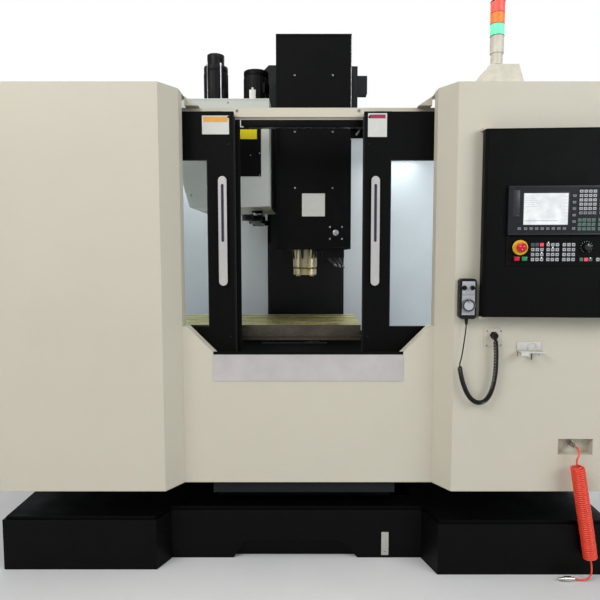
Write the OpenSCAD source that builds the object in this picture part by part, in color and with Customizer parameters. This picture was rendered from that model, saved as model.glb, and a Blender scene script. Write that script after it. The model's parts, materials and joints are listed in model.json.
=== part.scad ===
// Vertical machining centre with an enclosure, an arm-type tool magazine and an operator panel.
// Millimetres. +X right, +Y towards the back, +Z up, origin on the floor under the machine's centre.

/* [Enclosure] */
// Width over the two side panels
encl_w = 2712; // [2660:4:2800]
// Height of the panels' top edge above the floor
encl_top = 2120; // [2110:5:2200]
// Height of the panels' bottom edge above the floor
encl_bottom = 360; // [345:5:380]
// Distance from the origin to the front plane of the side panels
front_plane = 1000; // [980:5:1040]
// Distance from the origin to the rear plane of the enclosure
rear_plane = 700; // [640:5:760]
// Thickness of the sheet metal
sheet_t = 3; // [2:0.5:4]
// How far the lower front panel stands back from the side panels
panel_step = 100; // [90:5:110]
// Width of the doorway between its two jambs
doorway_w = 1130; // [1090:2:1160]
// Width of the slanted corner beside the doorway
bevel_w = 64; // [50:2:80]
// Height of the sill above the floor
sill_z = 950; // [930:2:970]
// Size of the slanted corner at each end of the sill
sill_corner = 128; // [100:4:140]

/* [Kick plate] */
// Width of the bright plate on the lower front panel
plate_w = 858; // [600:2:1000]
// Height of the bright plate
plate_h = 120; // [80:2:160]

/* [Doors] */
// Width of each sliding door
door_w = 600; // [590:2:620]
// Depth of each door's folded edge
door_t = 30; // [24:1:34]
// Height of the doors' top edge above the floor
door_top = 2045; // [2040:1:2050]
// Height of the doors' bottom edge above the floor
door_bottom = 905; // [900:1:912]
// Width of the stile at the leading edge
stile_w = 120; // [110:2:136]
// Height of the windows' bottom edge above the floor
window_bottom = 1067; // [1040:1:1100]
// Height of the windows' top edge above the floor
window_top = 1830; // [1780:1:1860]
// Thickness of the window glass
glass_t = 6; // [4:1:8]
// Leading edge of the left door, from the middle of the machine
left_edge_x = 338; // [300:1:350]
// Leading edge of the right door, from the middle of the machine
right_edge_x = 254; // [240:1:330]
// Width of a door handle
handle_w = 41; // [34:1:48]
// Length of a door handle
handle_l = 500; // [420:5:560]

/* [Castings] */
// Width of the bed
bed_w = 840; // [810:2:860]
// Height of the table's top above the floor
table_z = 1050; // [1040:1:1060]
// Length of the table
table_l = 1000; // [960:10:1040]
// Depth of the table
table_d = 500; // [480:5:510]
// Thickness of the table
table_t = 80; // [70:1:90]
// Number of T-slots in the table
slot_count = 5; // [3:2:5]
// Width of a T-slot
slot_w = 18; // [14:1:22]
// Distance between T-slots
slot_pitch = 90; // [80:1:94]
// Width of the column
column_w = 600; // [580:5:620]
// Depth of the column
column_d = 500; // [460:5:520]
// Height of the column's top above the floor
column_top = 2630; // [2600:5:2680]
// Distance from the spindle's axis to the head's guide plane
throat = 560; // [556:1:566]
// Height of the spindle's nose above the floor
nose_z = 1290; // [1285:1:1300]

/* [Guides] */
// Width of a linear guide rail
rail_w = 34; // [30:1:38]
// Height of a linear guide rail
rail_h = 30; // [26:1:32]
// Width of a guide block
block_w = 90; // [80:1:96]
// Clearance between rails and blocks
rail_gap = 0.3; // [0.2:0.05:0.5]
// Height of the guards that hide the table's rails, below the table
guard_gap = 6; // [4:1:10]
// Radius of the ball screws
screw_r = 18; // [16:0.5:19]
// Radial clearance of a shaft in its bore
fit_gap = 0.05; // [0.02:0.01:0.08]

/* [Tool magazine] */
// Number of tool pots
pot_count = 16; // [12:1:17]
// Radius of the circle of tool pots
pot_circle_r = 200; // [196:1:204]
// Radius of a tool pot
pot_r = 31; // [28:0.5:32]
// Distance from the arm's axis to the spindle's axis
arm_reach = 265; // [255:1:270]
// Radius of the magazine's upright motors
mag_motor_r = 66; // [58:1:68]

/* [Operator panel] */
// Width of the operator panel's box
box_w = 600; // [580:5:606]
// Depth of the operator panel's box
box_d = 56; // [50:1:64]
// Height of the box's bottom above the floor
box_bottom = 1140; // [1120:5:1160]
// Height of the box's top above the floor
box_top = 1914; // [1860:2:1960]
// Angle at which the box stands open
box_angle = 3.5; // [0:0.5:6]
// Radius of the emergency stop's head
estop_r = 20; // [16:0.5:22]
// Travel of the emergency stop
estop_travel = 5; // [4:0.5:6]
// Radius of the start and stop buttons
button_r = 8; // [6:0.5:9]
// Travel of the start and stop buttons
button_travel = 3; // [2:0.5:4]
// Radius of the override knob
knob_r = 17; // [14:0.5:20]

/* [Handwheel pendant] */
// Width of the pendant
pendant_w = 71; // [66:1:76]
// Height of the pendant
pendant_h = 170; // [160:1:180]
// Depth of the pendant
pendant_d = 40; // [34:1:46]
// Radius of the handwheel
dial_r = 27; // [22:0.5:30]

/* [Cords] */
// Diameter of the curly cord over its turns
curl_d = 19; // [16:1:22]
// Diameter of the straight pendant cord
cord_d = 6; // [5:0.5:7]
// Diameter of the spiral air hose over its turns
spiral_d = 62; // [54:1:66]
// Diameter of the air hose's tube
hose_d = 8; // [6:0.5:10]

/* [Tower light] */
// Diameter of the lamps
lamp_d = 59; // [50:1:66]
// Height of one lamp
lamp_h = 46; // [40:1:50]

/* [Coolant tank] */
// Height of the coolant tank
tank_h = 240; // [210:5:260]
// How far the tank's right part stands ahead of the enclosure
tank_nose = 40; // [30:2:44]
// Width of the level gauge
gauge_w = 33; // [24:1:40]
// Height of the level gauge
gauge_h = 110; // [80:2:130]

/* [Hidden] */
$fn = 48;

cream = [0.78, 0.76, 0.69];
black = [0.09, 0.09, 0.10];
steel = [0.62, 0.63, 0.65];
casting = [0.35, 0.37, 0.38];
silver = [0.74, 0.73, 0.76];
pane = [0.6, 0.72, 0.75, 0.35];
gap = 0.3;
e = 0.01;

// Planes of the enclosure
half_w = encl_w / 2;
yf = -front_plane;
ys = yf + panel_step;
jamb_x = doorway_w / 2;
edge_x = jamb_x + bevel_w;
jamb_d = 65;
door_y = ys + jamb_d + 25;
door_back = door_y + door_t;
beam_y = door_back + 25;
beam_top = door_top + 30;
beam_bottom = door_top - 25;
outline = [[-half_w, rear_plane], [-half_w, yf], [-edge_x, yf], [-jamb_x, ys], [jamb_x, ys],
    [edge_x, yf], [half_w, yf], [half_w, rear_plane]];

handle_z = 1507;

// Drive train: one axis in X for bed, column, head and spindle
axis_x = -20;
spindle_y = -260;
guide_h = rail_h + 30;
mate_y = spindle_y + throat;
column_y = mate_y + guide_h;
column_back = column_y + column_d;
saddle_h = 262;
table_bottom = table_z - table_t;
saddle_top = table_bottom - guide_h;
saddle_bottom = saddle_top - saddle_h;
bed_top = saddle_bottom - guide_h;
table_x = -237;
table_y = -350;
bed_front = -870;
rail_x = 230;
rail_x_z = 170;
rail_y = 130;
trough_w = 180;
saddle_l = 1300;
saddle_d = 340;
base_w = 600;
base_d = 300;

// Ball screws
journal_r = screw_r - 6;
journal_bore = journal_r + fit_gap;
nut_bore = screw_r + fit_gap;
y_screw_z = bed_top - 68;
x_screw_z = saddle_top - 40;
z_screw_y = column_y + 35;
nut_half = 50;

// Head
head_bottom = 1450;
head_top = 2080;
head_w = 286;
head_front = spindle_y - 140;
cover_x0 = axis_x - head_w / 2 - sheet_t;
cover_x1 = 221;
cover_front = -450;
cover_bottom = 1430;
cover_top = head_top + 440;
cartridge_r = 66;
shaft_r = 45;

// Way covers: each roof nests in the next one
cover_t = 2;
cover_step = cover_t + gap;
y_cover_z = 680;
y_cover_half = 283;
y_cover_l = 205;
y_travel_front = 160;
y_travel_back = 340;
front_stack = bed_front;
back_stack = column_y - y_cover_l - 5;

// Magazine
arm_x = axis_x - arm_reach;
mag_x0 = -632;
mag_x1 = -196;
mag_y0 = -540;
mag_y1 = 20;
mag_z0 = 1640;
mag_z1 = 2175;
disc_z = 1910;
disc_x = -440;
drive_x0 = arm_x - 80;
drive_x1 = mag_x1 - sheet_t;

// Operator panel, about its hinge
hinge_x = 745;
hinge_y = yf - 24;
hinge_r = 8;
box_back = 18;
box_face = box_back - box_d;
unit_x = 79;
unit_w = 451;
unit_d = 14;
unit_z = 1481;
unit_h = 200;
panel_h = 126;

// The rear of the electrical cabinet lies as far back as the controller's open corner lies forward
cabinet_back = -hinge_y + (unit_x + unit_w) * sin(box_angle) - (box_face - unit_d) * cos(box_angle);
cabinet_w = 960;
cabinet_z0 = 560;
cabinet_z1 = 2060;

// Pendant and sockets
pendant_x = 674;
pendant_z = 1130;
gland_x = 796;
gland_z = 1056;
socket_x = 1163;
socket_z = 567;

// Routes of the cords, in millimetres
cord_route = [[674, -1026, 1104], [672, -1026, 1078], [668, -1027, 1046], [662, -1028, 1001],
    [656, -1029, 964], [650, -1030, 942], [648, -1031, 926]];
coil_route = [[648, -1031, 926], [652, -1031, 898], [659, -1031, 868], [668, -1031, 840],
    [680, -1031, 812], [697, -1031, 786], [717, -1031, 771], [738, -1031, 766], [758, -1031, 773],
    [775, -1031, 793], [788, -1031, 823], [797, -1031, 862], [802, -1031, 905], [803, -1031, 950],
    [802, -1031, 995], [798, -1031, 1040]];
lead_route = [[1163, -1022, 567], [1163, -1040, 566], [1164, -1052, 556], [1158, -1060, 540],
    [1150, -1062, 522], [1152, -1062, 500]];
hose_route = [[1152, -1062, 500], [1168, -1067, 400], [1184, -1071, 300], [1201, -1074, 200],
    [1219, -1075, 90]];
tail_route = [[1219, -1075, 90], [1223, -1079, 60], [1220, -1084, 28], [1204, -1089, 10],
    [1183, -1091, 6], [1166, -1091, 8], [1154, -1090, 11], [1146, -1090, 11]];

// Plain box between two opposite corners
module block(a, b) { translate(a) cube(b - a); }

// Bore of radius r and depth h at p: along +X, +Y or +Z
module bore_x(p, r, h) { translate(p) rotate([0, 90, 0]) cylinder(r = r, h = h); }
module bore_y(p, r, h) { translate(p) rotate([-90, 0, 0]) cylinder(r = r, h = h); }
module bore_z(p, r, h) { translate(p) cylinder(r = r, h = h); }

// Profile of width w and height h, with corners rounded to r
module rounded(w, h, r) {
    translate([-w / 2 + r, -h / 2]) square([w - 2 * r, h]);
    translate([-w / 2, -h / 2 + r]) square([w, h - 2 * r]);
    for (x = [-1, 1], y = [-1, 1]) translate([x * (w / 2 - r), y * (h / 2 - r)]) circle(r);
}

// Sheet of thickness t folded along a line of points, its inner face to the left
function unit(v) = v / norm(v);
function side(a, b) = let (d = unit(b - a)) [-d[1], d[0]];
function inset(p, i, t) = let (
        n2 = i < len(p) - 1 ? side(p[i], p[i + 1]) : side(p[i - 1], p[i]),
        n1 = i > 0 ? side(p[i - 1], p[i]) : n2,
        m = unit(n1 + n2)) p[i] + m * t / (m * n1);
function inner_line(p, t) = [for (i = [0:len(p) - 1]) inset(p, i, t)];
function flip(p) = [for (i = [len(p) - 1:-1:0]) p[i]];
module folded(p, t, h) { linear_extrude(h) polygon(concat(p, flip(inner_line(p, t)))); }

// Tube of diameter d swept along points p, with n sides
function cross_x(v) = unit(cross(v, abs(unit(v)[2]) > 0.9 ? [0, 1, 0] : [0, 0, 1]));
function along(p, i) = unit(p[min(i + 1, len(p) - 1)] - p[max(i - 1, 0)]);
function curve_at(p, i, t) = let (
        a = p[max(i - 1, 0)], b = p[i], c = p[i + 1], d = p[min(i + 2, len(p) - 1)])
    0.5 * (2 * b + (c - a) * t + (2 * a - 5 * b + 4 * c - d) * t * t
        + (3 * b - a - 3 * c + d) * t * t * t);
function smooth(p, k) = concat([for (i = [0:len(p) - 2], j = [0:k - 1]) curve_at(p, i, j / k)],
    [p[len(p) - 1]]);
function frames(p, i = 1, u = undef) = let (
        start = is_undef(u) ? [cross_x(along(p, 0))] : u,
        last = start[len(start) - 1],
        t = along(p, i),
        next = unit(last - (last * t) * t))
    i >= len(p) ? start : frames(p, i + 1, concat(start, [next]));
module tube(p, d, n) {
    u = frames(p);
    m = len(p);
    points = [for (i = [0:m - 1], k = [0:n - 1]) let (v = cross(along(p, i), u[i]))
        p[i] + d / 2 * (cos(360 * k / n) * u[i] + sin(360 * k / n) * v)];
    faces = concat([[for (k = [0:n - 1]) n - 1 - k]], [[for (k = [0:n - 1]) (m - 1) * n + k]],
        [for (i = [0:m - 2], k = [0:n - 1])
            [i * n + k, i * n + (k + 1) % n, (i + 1) * n + (k + 1) % n, (i + 1) * n + k]]);
    polyhedron(points = points, faces = faces, convexity = 6);
}

// Guide rail along +X on the plane z = 0, and the block that rides on it
module rail(l) {
    w = rail_w / 2;
    rotate([90, 0, 90]) linear_extrude(l) polygon([[-w, 0], [w, 0], [w, rail_h * 0.35],
        [w - 4, rail_h * 0.5], [w - 4, rail_h * 0.65], [w, rail_h * 0.8], [w, rail_h],
        [-w, rail_h], [-w, rail_h * 0.8], [-w + 4, rail_h * 0.65], [-w + 4, rail_h * 0.5],
        [-w, rail_h * 0.35]]);
}
module guide_block(l = 110) {
    w = rail_w / 2 + rail_gap;
    translate([-l / 2, 0, 0]) rotate([90, 0, 90]) linear_extrude(l) polygon([[-block_w / 2, 8],
        [-w, 8], [-w, rail_h + rail_gap], [w, rail_h + rail_gap], [w, 8], [block_w / 2, 8],
        [block_w / 2, guide_h - 10], [block_w / 2 - 6, guide_h], [6 - block_w / 2, guide_h],
        [-block_w / 2, guide_h - 10]]);
}

// Bed: a lower box, an overhanging front, a trough for the screw and two rails
module bed() {
    x0 = axis_x - bed_w / 2;
    x1 = axis_x + bed_w / 2;
    color(casting) {
        difference() {
            union() {
                block([x0, bed_front + 130, 150], [x1, column_back, 300]);
                block([x0, bed_front, 300 - e], [x1, column_back, bed_top]);
            }
            // trough of the ball screw
            block([axis_x - trough_w / 2, -610, y_screw_z - 50], [axis_x + trough_w / 2, 310, bed_top + 1]);
            // pocket of the motor, and the bore that passes the journal
            block([axis_x - 60, -760, y_screw_z - 55], [axis_x + 60, -650, bed_top + 1]);
            for (y = [-655, 305]) bore_y([axis_x, y, y_screw_z], journal_bore, 50);
        }
        for (s = [-1, 1]) translate([axis_x + s * rail_x, -700, bed_top]) rotate([0, 0, 90]) rail(1045);
    }
}

// Levelling feet under the bed: a pad, a stud and a lock nut
module levelling_feet() {
    color(steel) for (x = [-1, 1], y = [-680, 60, column_back - 60])
        translate([axis_x + x * (bed_w / 2 - 60), y, 0]) {
            cylinder(r1 = 60, r2 = 50, h = 40);
            cylinder(r = 16, h = 150);
            translate([0, 0, 120]) cylinder(r = 28, h = 30, $fn = 6);
        }
}

// Column: spreading foot, rails on its front, screw recess and motor pocket
module column() {
    w = column_w / 2;
    color(casting) {
        difference() {
            translate([axis_x, column_back, 0]) rotate([90, 0, 0]) linear_extrude(column_d)
                polygon([[-w - 60, bed_top], [w + 60, bed_top], [w + 60, bed_top + 60], [w, 1000],
                    [w, column_top - 60], [w - 60, column_top], [60 - w, column_top],
                    [-w, column_top - 60], [-w, 1000], [-w - 60, bed_top + 60]]);
            block([axis_x - 90, column_y - 1, 760], [axis_x + 90, column_y + 120, column_top - 180]);
            block([axis_x - 60, column_y - 1, column_top - 140],
                [axis_x + 60, z_screw_y + 60, column_top + 1]);
            for (z = [710, column_top - 190]) bore_z([axis_x, z_screw_y, z], journal_bore, 60);
        }
        // cable duct on the right side, and the connection box on it
        block([axis_x + w - e, column_y + 20, 1050], [axis_x + w + 40, column_y + 200, column_top]);
        block([axis_x + w + 40 - e, column_y + 30, column_top - 172],
            [axis_x + w + 104, column_y + 120, column_top - 58]);
        for (s = [-1, 1]) translate([axis_x + s * rail_x_z, column_y, 720])
            rotate([0, -90, 0]) rotate([90, 0, 0]) rail(column_top - 830);
    }
}

// Saddle: blocks below, a base, a cross beam, a trough and two rails on top
module saddle() {
    x0 = axis_x - saddle_l / 2;
    color(casting) {
        difference() {
            union() {
                block([axis_x - base_w / 2, table_y - base_d / 2, saddle_bottom],
                    [axis_x + base_w / 2, table_y + base_d / 2, saddle_bottom + 143]);
                translate([axis_x, table_y + saddle_d / 2, 0]) rotate([90, 0, 0]) linear_extrude(saddle_d)
                    polygon([[-base_w / 2, saddle_bottom + 90], [base_w / 2, saddle_bottom + 90],
                        [saddle_l / 2, saddle_bottom + 170], [saddle_l / 2, saddle_top],
                        [-saddle_l / 2, saddle_top], [-saddle_l / 2, saddle_bottom + 170]]);
            }
            block([x0 + 100, table_y - 45, saddle_top - 80],
                [axis_x + saddle_l / 2 - 90, table_y + 45, saddle_top + 1]);
            bore_x([x0 + 60, table_y, x_screw_z], journal_bore, 50);
            bore_x([axis_x + saddle_l / 2 - 100, table_y, x_screw_z], journal_bore, 110);
        }
        // guards in front of and behind the rails
        for (s = [0, 1]) translate([x0 + 10, table_y, 0]) mirror([0, s, 0]) rotate([90, 0, 90])
            linear_extrude(saddle_l - 20) polygon([[saddle_d / 2 - e, saddle_top - 60],
                [saddle_d / 2 + 12, saddle_top - 60], [saddle_d / 2 + 12, table_bottom - guard_gap],
                [saddle_d / 2 + 9, table_bottom - guard_gap], [saddle_d / 2 + 9, saddle_top - 57],
                [saddle_d / 2 - e, saddle_top - 57]]);
        for (s = [-1, 1]) translate([x0 + 5, table_y + s * rail_y, saddle_top]) rail(saddle_l - 10);
        for (x = [-1, 1], y = [-1, 1])
            translate([axis_x + x * rail_x, table_y + y * (base_d / 2 - 55), bed_top])
                rotate([0, 0, 90]) guide_block();
        difference() {
            block([axis_x - 45, table_y - nut_half, y_screw_z - 36],
                [axis_x + 45, table_y + nut_half, saddle_bottom + e]);
            bore_y([axis_x, table_y - nut_half - 1, y_screw_z], nut_bore, 2 * nut_half + 2);
        }
    }
}

// Table with T-slots, guide blocks and the nut of its screw
module table() {
    color(steel) {
        difference() {
            block([table_x - table_l / 2, table_y - table_d / 2, table_bottom],
                [table_x + table_l / 2, table_y + table_d / 2, table_z]);
            for (i = [0:slot_count - 1]) {
                y = table_y + (i - (slot_count - 1) / 2) * slot_pitch;
                block([table_x - table_l, y - slot_w / 2, table_z - 36],
                    [table_x + table_l, y + slot_w / 2, table_z + 1]);
                block([table_x - table_l, y - slot_w * 0.85, table_z - 36],
                    [table_x + table_l, y + slot_w * 0.85, table_z - 20]);
            }
            // coolant groove under the front and rear edges
            for (s = [-1, 1]) block([table_x - table_l, table_y + s * table_d / 2 - 14, table_bottom - 1],
                [table_x + table_l, table_y + s * table_d / 2 + 14, table_bottom + 22]);
        }
        for (x = [-190, 190], s = [-1, 1])
            translate([table_x + x, table_y + s * rail_y, saddle_top]) guide_block();
        difference() {
            block([table_x - nut_half, table_y - 32, x_screw_z - 30],
                [table_x + nut_half, table_y + 32, table_bottom + e]);
            bore_x([table_x - nut_half - 1, table_y, x_screw_z], nut_bore, 2 * nut_half + 2);
        }
    }
}

// Head casting on its guide blocks, bored for the spindle
module head_casting() {
    color(casting) difference() {
        union() {
            translate([axis_x + head_w / 2, 0, 0]) rotate([90, 0, -90]) linear_extrude(head_w)
                polygon([[-head_front, head_bottom], [-head_front, head_top - 220],
                    [-head_front - 60, head_top], [-mate_y, head_top], [-mate_y, head_bottom + 110],
                    [-mate_y + 120, head_bottom + 30], [-mate_y + 180, head_bottom]]);
            block([axis_x - 225, mate_y - 60, head_bottom + 30], [axis_x + 225, mate_y, head_top]);
            for (z = [head_bottom + 90, head_top - 80], s = [-1, 1])
                translate([axis_x + s * rail_x_z, column_y, z]) rotate([0, -90, 0])
                    rotate([90, 0, 0]) guide_block();
            block([axis_x - 45, mate_y - e, 1700], [axis_x + 45, z_screw_y + 37, 1820]);
        }
        bore_z([axis_x, spindle_y, head_bottom - 1], cartridge_r, head_top - head_bottom + 2);
        bore_z([axis_x, z_screw_y, 1690], nut_bore, 140);
    }
}

// Ball screw along +Z from the origin: threaded length l between two journals
module screw(l, a, b) {
    translate([0, 0, -a]) cylinder(r = journal_r, h = a + l + b);
    cylinder(r = screw_r, h = l);
}
module x_screw() {
    color(silver) translate([axis_x - saddle_l / 2 + 100 + gap, table_y, x_screw_z]) rotate([0, 90, 0])
        screw(saddle_l - 190 - 2 * gap, 36, 90 - gap);
}
module y_screw() {
    color(silver) translate([axis_x, -610 + gap, y_screw_z]) rotate([-90, 0, 0])
        screw(920 - 2 * gap, 40, 40);
}
module z_screw() {
    color(silver) translate([axis_x, z_screw_y, 760 + gap]) screw(column_top - 940 - 2 * gap, 40, 40 - gap);
}

// Servo motor along +Z: flange, finned body and rear cap
module motor(w, l) {
    linear_extrude(14) rounded(w, w, 10);
    translate([0, 0, 14]) linear_extrude(l - 50) rounded(w - 14, w - 14, 14);
    translate([0, 0, l - 36]) linear_extrude(36) rounded(w - 26, w - 26, 12);
}
module fixed_axis_motors() {
    color(black) {
        translate([axis_x, -650, y_screw_z]) rotate([90, 0, 0]) motor(104, 110);
        translate([axis_x, z_screw_y, column_top - 140]) motor(108, 139);
    }
}
module x_motor() {
    color(black) translate([axis_x + saddle_l / 2, table_y, x_screw_z]) rotate([0, 90, 0]) motor(118, 150);
}

// Head cover: a folded shell, open below and behind
module head_cover() {
    color(black) difference() {
        block([cover_x0, cover_front, cover_bottom], [cover_x1, 60, cover_top]);
        block([cover_x0 + sheet_t, cover_front + sheet_t, cover_bottom - 1],
            [cover_x1 - sheet_t, 61, cover_top - sheet_t]);
    }
}

// Spindle cartridge in the head, with a flange below it
module spindle_cartridge() {
    color(steel) translate([axis_x, spindle_y, 0]) rotate_extrude() polygon([
        [shaft_r + fit_gap, nose_z + 40], [cartridge_r - 4, nose_z + 40], [cartridge_r, nose_z + 44],
        [cartridge_r, nose_z + 330], [shaft_r + fit_gap, nose_z + 330]]);
}

// Spindle: nose with taper, shaft and coupling
module spindle() {
    z = nose_z;
    color(steel) translate([axis_x, spindle_y, 0]) {
        difference() {
            rotate_extrude() polygon([[0, z + 150], [9, z + 150], [9, z + 66], [12.6, z + 66], [22.2, z],
                [62, z], [64, z + 3], [64, z + 32], [56, z + 40 - gap], [shaft_r, z + 40 - gap],
                [shaft_r, z + 330], [30, z + 330], [30, head_top - 90], [50, head_top - 90],
                [50, head_top - gap], [0, head_top - gap]]);
            for (a = [0:60:300]) rotate([0, 0, a + 30]) translate([49, 0, z - 1]) cylinder(r = 4, h = 9);
        }
        for (s = [0, 180]) rotate([0, 0, s]) block([26, -8, z - 8], [50, 8, z + e]);
    }
}
module spindle_motor() {
    color(black) translate([axis_x, spindle_y, head_top]) {
        linear_extrude(340) rounded(206, 206, 24);
        translate([0, 0, 340]) cylinder(r = 92, h = 60);
    }
}

// Coolant ring and manifold under the head
module coolant_nozzles() {
    color(black) {
        translate([axis_x, spindle_y, head_bottom - 22]) difference() {
            cylinder(r = 100, h = 22);
            translate([0, 0, -1]) cylinder(r = cartridge_r + 4, h = 24);
        }
        block([axis_x + 95, spindle_y - 50, head_bottom - 66],
            [cover_x1 - 26, spindle_y + 60, head_bottom]);
        for (a = [-140, -100, -60, 40, 80, 120]) translate([axis_x, spindle_y, head_bottom - 22])
            rotate([0, 0, a]) translate([76, 0, -48]) rotate([0, 14, 0]) cylinder(r1 = 4, r2 = 8, h = 54);
    }
}

// One telescopic roof over the bed's rails, the k-th from the inside, from y0 for length l
module y_roof(k, y0, l) {
    w = y_cover_half + k * cover_step;
    z = y_cover_z + k * cover_step;
    foot = k == 0 ? bed_top : bed_top + 4;
    translate([axis_x, y0 + l, 0]) rotate([90, 0, 0]) linear_extrude(l) polygon([[-w, foot], [-w, z - 12],
        [12 - w, z], [w - 12, z], [w, z - 12], [w, foot], [w - cover_t, foot], [w - cover_t, z - 13],
        [w - 13, z - cover_t], [13 - w, z - cover_t], [cover_t - w, z - 13], [cover_t - w, foot]]);
}
module z_roof(k, z0, l) {
    w = 240 + k * cover_step;
    y = mate_y - 10 - k * cover_step;
    back = k == 0 ? column_y : column_y - 30;
    translate([axis_x, 0, z0]) linear_extrude(l) polygon([[-w, back], [-w, y + 8], [8 - w, y], [w - 8, y],
        [w, y + 8], [w, back], [w - cover_t, back], [w - cover_t, y + 9], [w - 9, y + cover_t],
        [9 - w, y + cover_t], [cover_t - w, y + 9], [cover_t - w, back]]);
}
module way_covers_fixed() {
    color(black) {
        y_roof(0, front_stack, y_cover_l);
        y_roof(0, back_stack, column_y - back_stack);
        z_roof(0, y_cover_z + 30, 620);
    }
}
module way_covers_step(k) {
    color(steel) {
        y_roof(k, front_stack + y_travel_front * k / 3, y_cover_l);
        y_roof(k, back_stack - y_travel_back * k / 3, y_cover_l);
    }
}
module way_covers_a() { way_covers_step(1); }
module way_covers_b() { way_covers_step(2); }
module saddle_way_covers() {
    y0 = table_y - base_d / 2;
    y1 = table_y + base_d / 2;
    color(steel) {
        y_roof(3, y0 - 210, 210);
        y_roof(3, y1, 215);
    }
}
module head_way_cover() {
    color(black) z_roof(1, head_bottom - 520, 550);
}

// Chip pan round the bed, with a raised rim
function pan_line(t) = [for (p = inner_line(outline, t)) [p[0], min(p[1], rear_plane - t)]];
module chip_pan() {
    rim = pan_line(sheet_t);
    inside = pan_line(2 * sheet_t);
    color(steel) difference() {
        translate([0, 0, encl_bottom]) linear_extrude(100) polygon(rim);
        translate([0, 0, encl_bottom + 45]) linear_extrude(100) polygon(inside);
        translate([0, 0, encl_bottom - 1]) linear_extrude(42) polygon(inside);
        block([axis_x - bed_w / 2 - e, bed_front - e, encl_bottom - 1],
            [axis_x + bed_w / 2 + e, rear_plane + 1, encl_bottom + 101]);
    }
}

// Light inner walls: two sides and two backs with room for the way covers and the magazine's bracket
module inner_walls() {
    wall_x = 985;
    wall_z = door_top + 35;
    back_z = wall_z + 85;
    z0 = encl_bottom + 45;
    well = bed_w / 2 + 6;
    inner = axis_x - base_w / 2 - 6;
    color([0.72, 0.78, 0.80]) {
        for (s = [-1, 1]) block([s * (wall_x + sheet_t / 2) - sheet_t / 2, beam_y + 60, z0],
            [s * (wall_x + sheet_t / 2) + sheet_t / 2, mate_y + sheet_t, wall_z]);
        difference() {
            for (s = [-1, 1]) {
                translate([0, mate_y + sheet_t, 0]) rotate([90, 0, 0]) linear_extrude(sheet_t)
                    polygon([[s * wall_x, z0], [axis_x + s * well, z0],
                        [axis_x + s * well, y_cover_z + 40], [axis_x + s * 250, y_cover_z + 40],
                        [axis_x + s * 250, back_z], [s * wall_x, back_z]]);
                // folded top edge, which catches the light
                block([min(s * wall_x, axis_x + s * 250), mate_y - 14, back_z - sheet_t],
                    [max(s * wall_x, axis_x + s * 250), mate_y + e, back_z]);
            }
            block([drive_x0 - 62, mate_y - 1, 1794], [inner + 10, mate_y + sheet_t + 1, 2006]);
        }
    }
}

// Side front panel: a sheet with a slanted corner, a jamb and a top return; s is -1 left, 1 right
module front_panel(s) {
    line = [[-half_w, yf], [-edge_x, yf], [-jamb_x, ys]];
    jamb_z = encl_bottom + 110;
    mirror([s > 0 ? 1 : 0, 0, 0]) {
        translate([0, 0, encl_bottom]) folded(line, sheet_t, encl_top - encl_bottom);
        block([-jamb_x - sheet_t, ys + 1, jamb_z], [-jamb_x, ys + jamb_d, encl_top]);
        translate([0, 0, encl_top - sheet_t]) linear_extrude(sheet_t) polygon([[-half_w + sheet_t, yf + 1],
            [-edge_x - 1, yf + 1], [-jamb_x - 1, ys + 1], [-jamb_x - 1, beam_y + 20],
            [-half_w + sheet_t, beam_y + 20]]);
    }
}
module left_front_panel() { color(cream) front_panel(-1); }

// Right panel with the air recess, the box's hinge brackets, the pendant's hook and the air gun's hook
module right_front_panel() {
    recess = [[1095, 1247], [525, 596]];
    color(cream) {
        difference() {
            front_panel(1);
            block([recess[0][0], yf - 1, recess[1][0]], [recess[0][1], yf + sheet_t + 1, recess[1][1]]);
        }
        difference() {
            block([recess[0][0] - 2, yf + e, recess[1][0] - 2],
                [recess[0][1] + 2, yf + 47, recess[1][1] + 2]);
            block([recess[0][0], yf - 1, recess[1][0]], [recess[0][1], yf + 45, recess[1][1]]);
        }
        for (s = [0, 1]) {
            z = s == 0 ? box_bottom - gap - 10 : box_top + gap;
            block([hinge_x - 22, hinge_y - 14, z], [hinge_x + 22, yf + e, z + 10]);
            translate([hinge_x, hinge_y, s == 0 ? z : z - 30]) cylinder(r = hinge_r, h = 40);
        }
        // square plate of the cord gland
        translate([gland_x, yf + e, gland_z - 10]) rotate([90, 0, 0]) linear_extrude(3) rounded(76, 80, 5);
        // pendant's hook plate
        block([pendant_x - 24, yf - 6, pendant_z + 96], [pendant_x + 24, yf + e, pendant_z + 156]);
        // air gun's hook: a small shelf with a round notch and a hanging lip
        difference() {
            block([900, yf - 52, 986], [1006, yf + e, 989]);
            translate([966, yf - 40, 980]) cylinder(r = 20, h = 20);
        }
        block([900, yf - 3, 986], [1006, yf + e, 1026]);
        translate([966, yf, 986]) rotate([90, 0, 0]) linear_extrude(3) circle(r = 34);
        block([900, yf - 55, 972], [936, yf - 52, 989]);
        block([963, yf - 4, 948], [968, yf + e, 987]);
    }
}

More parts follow.
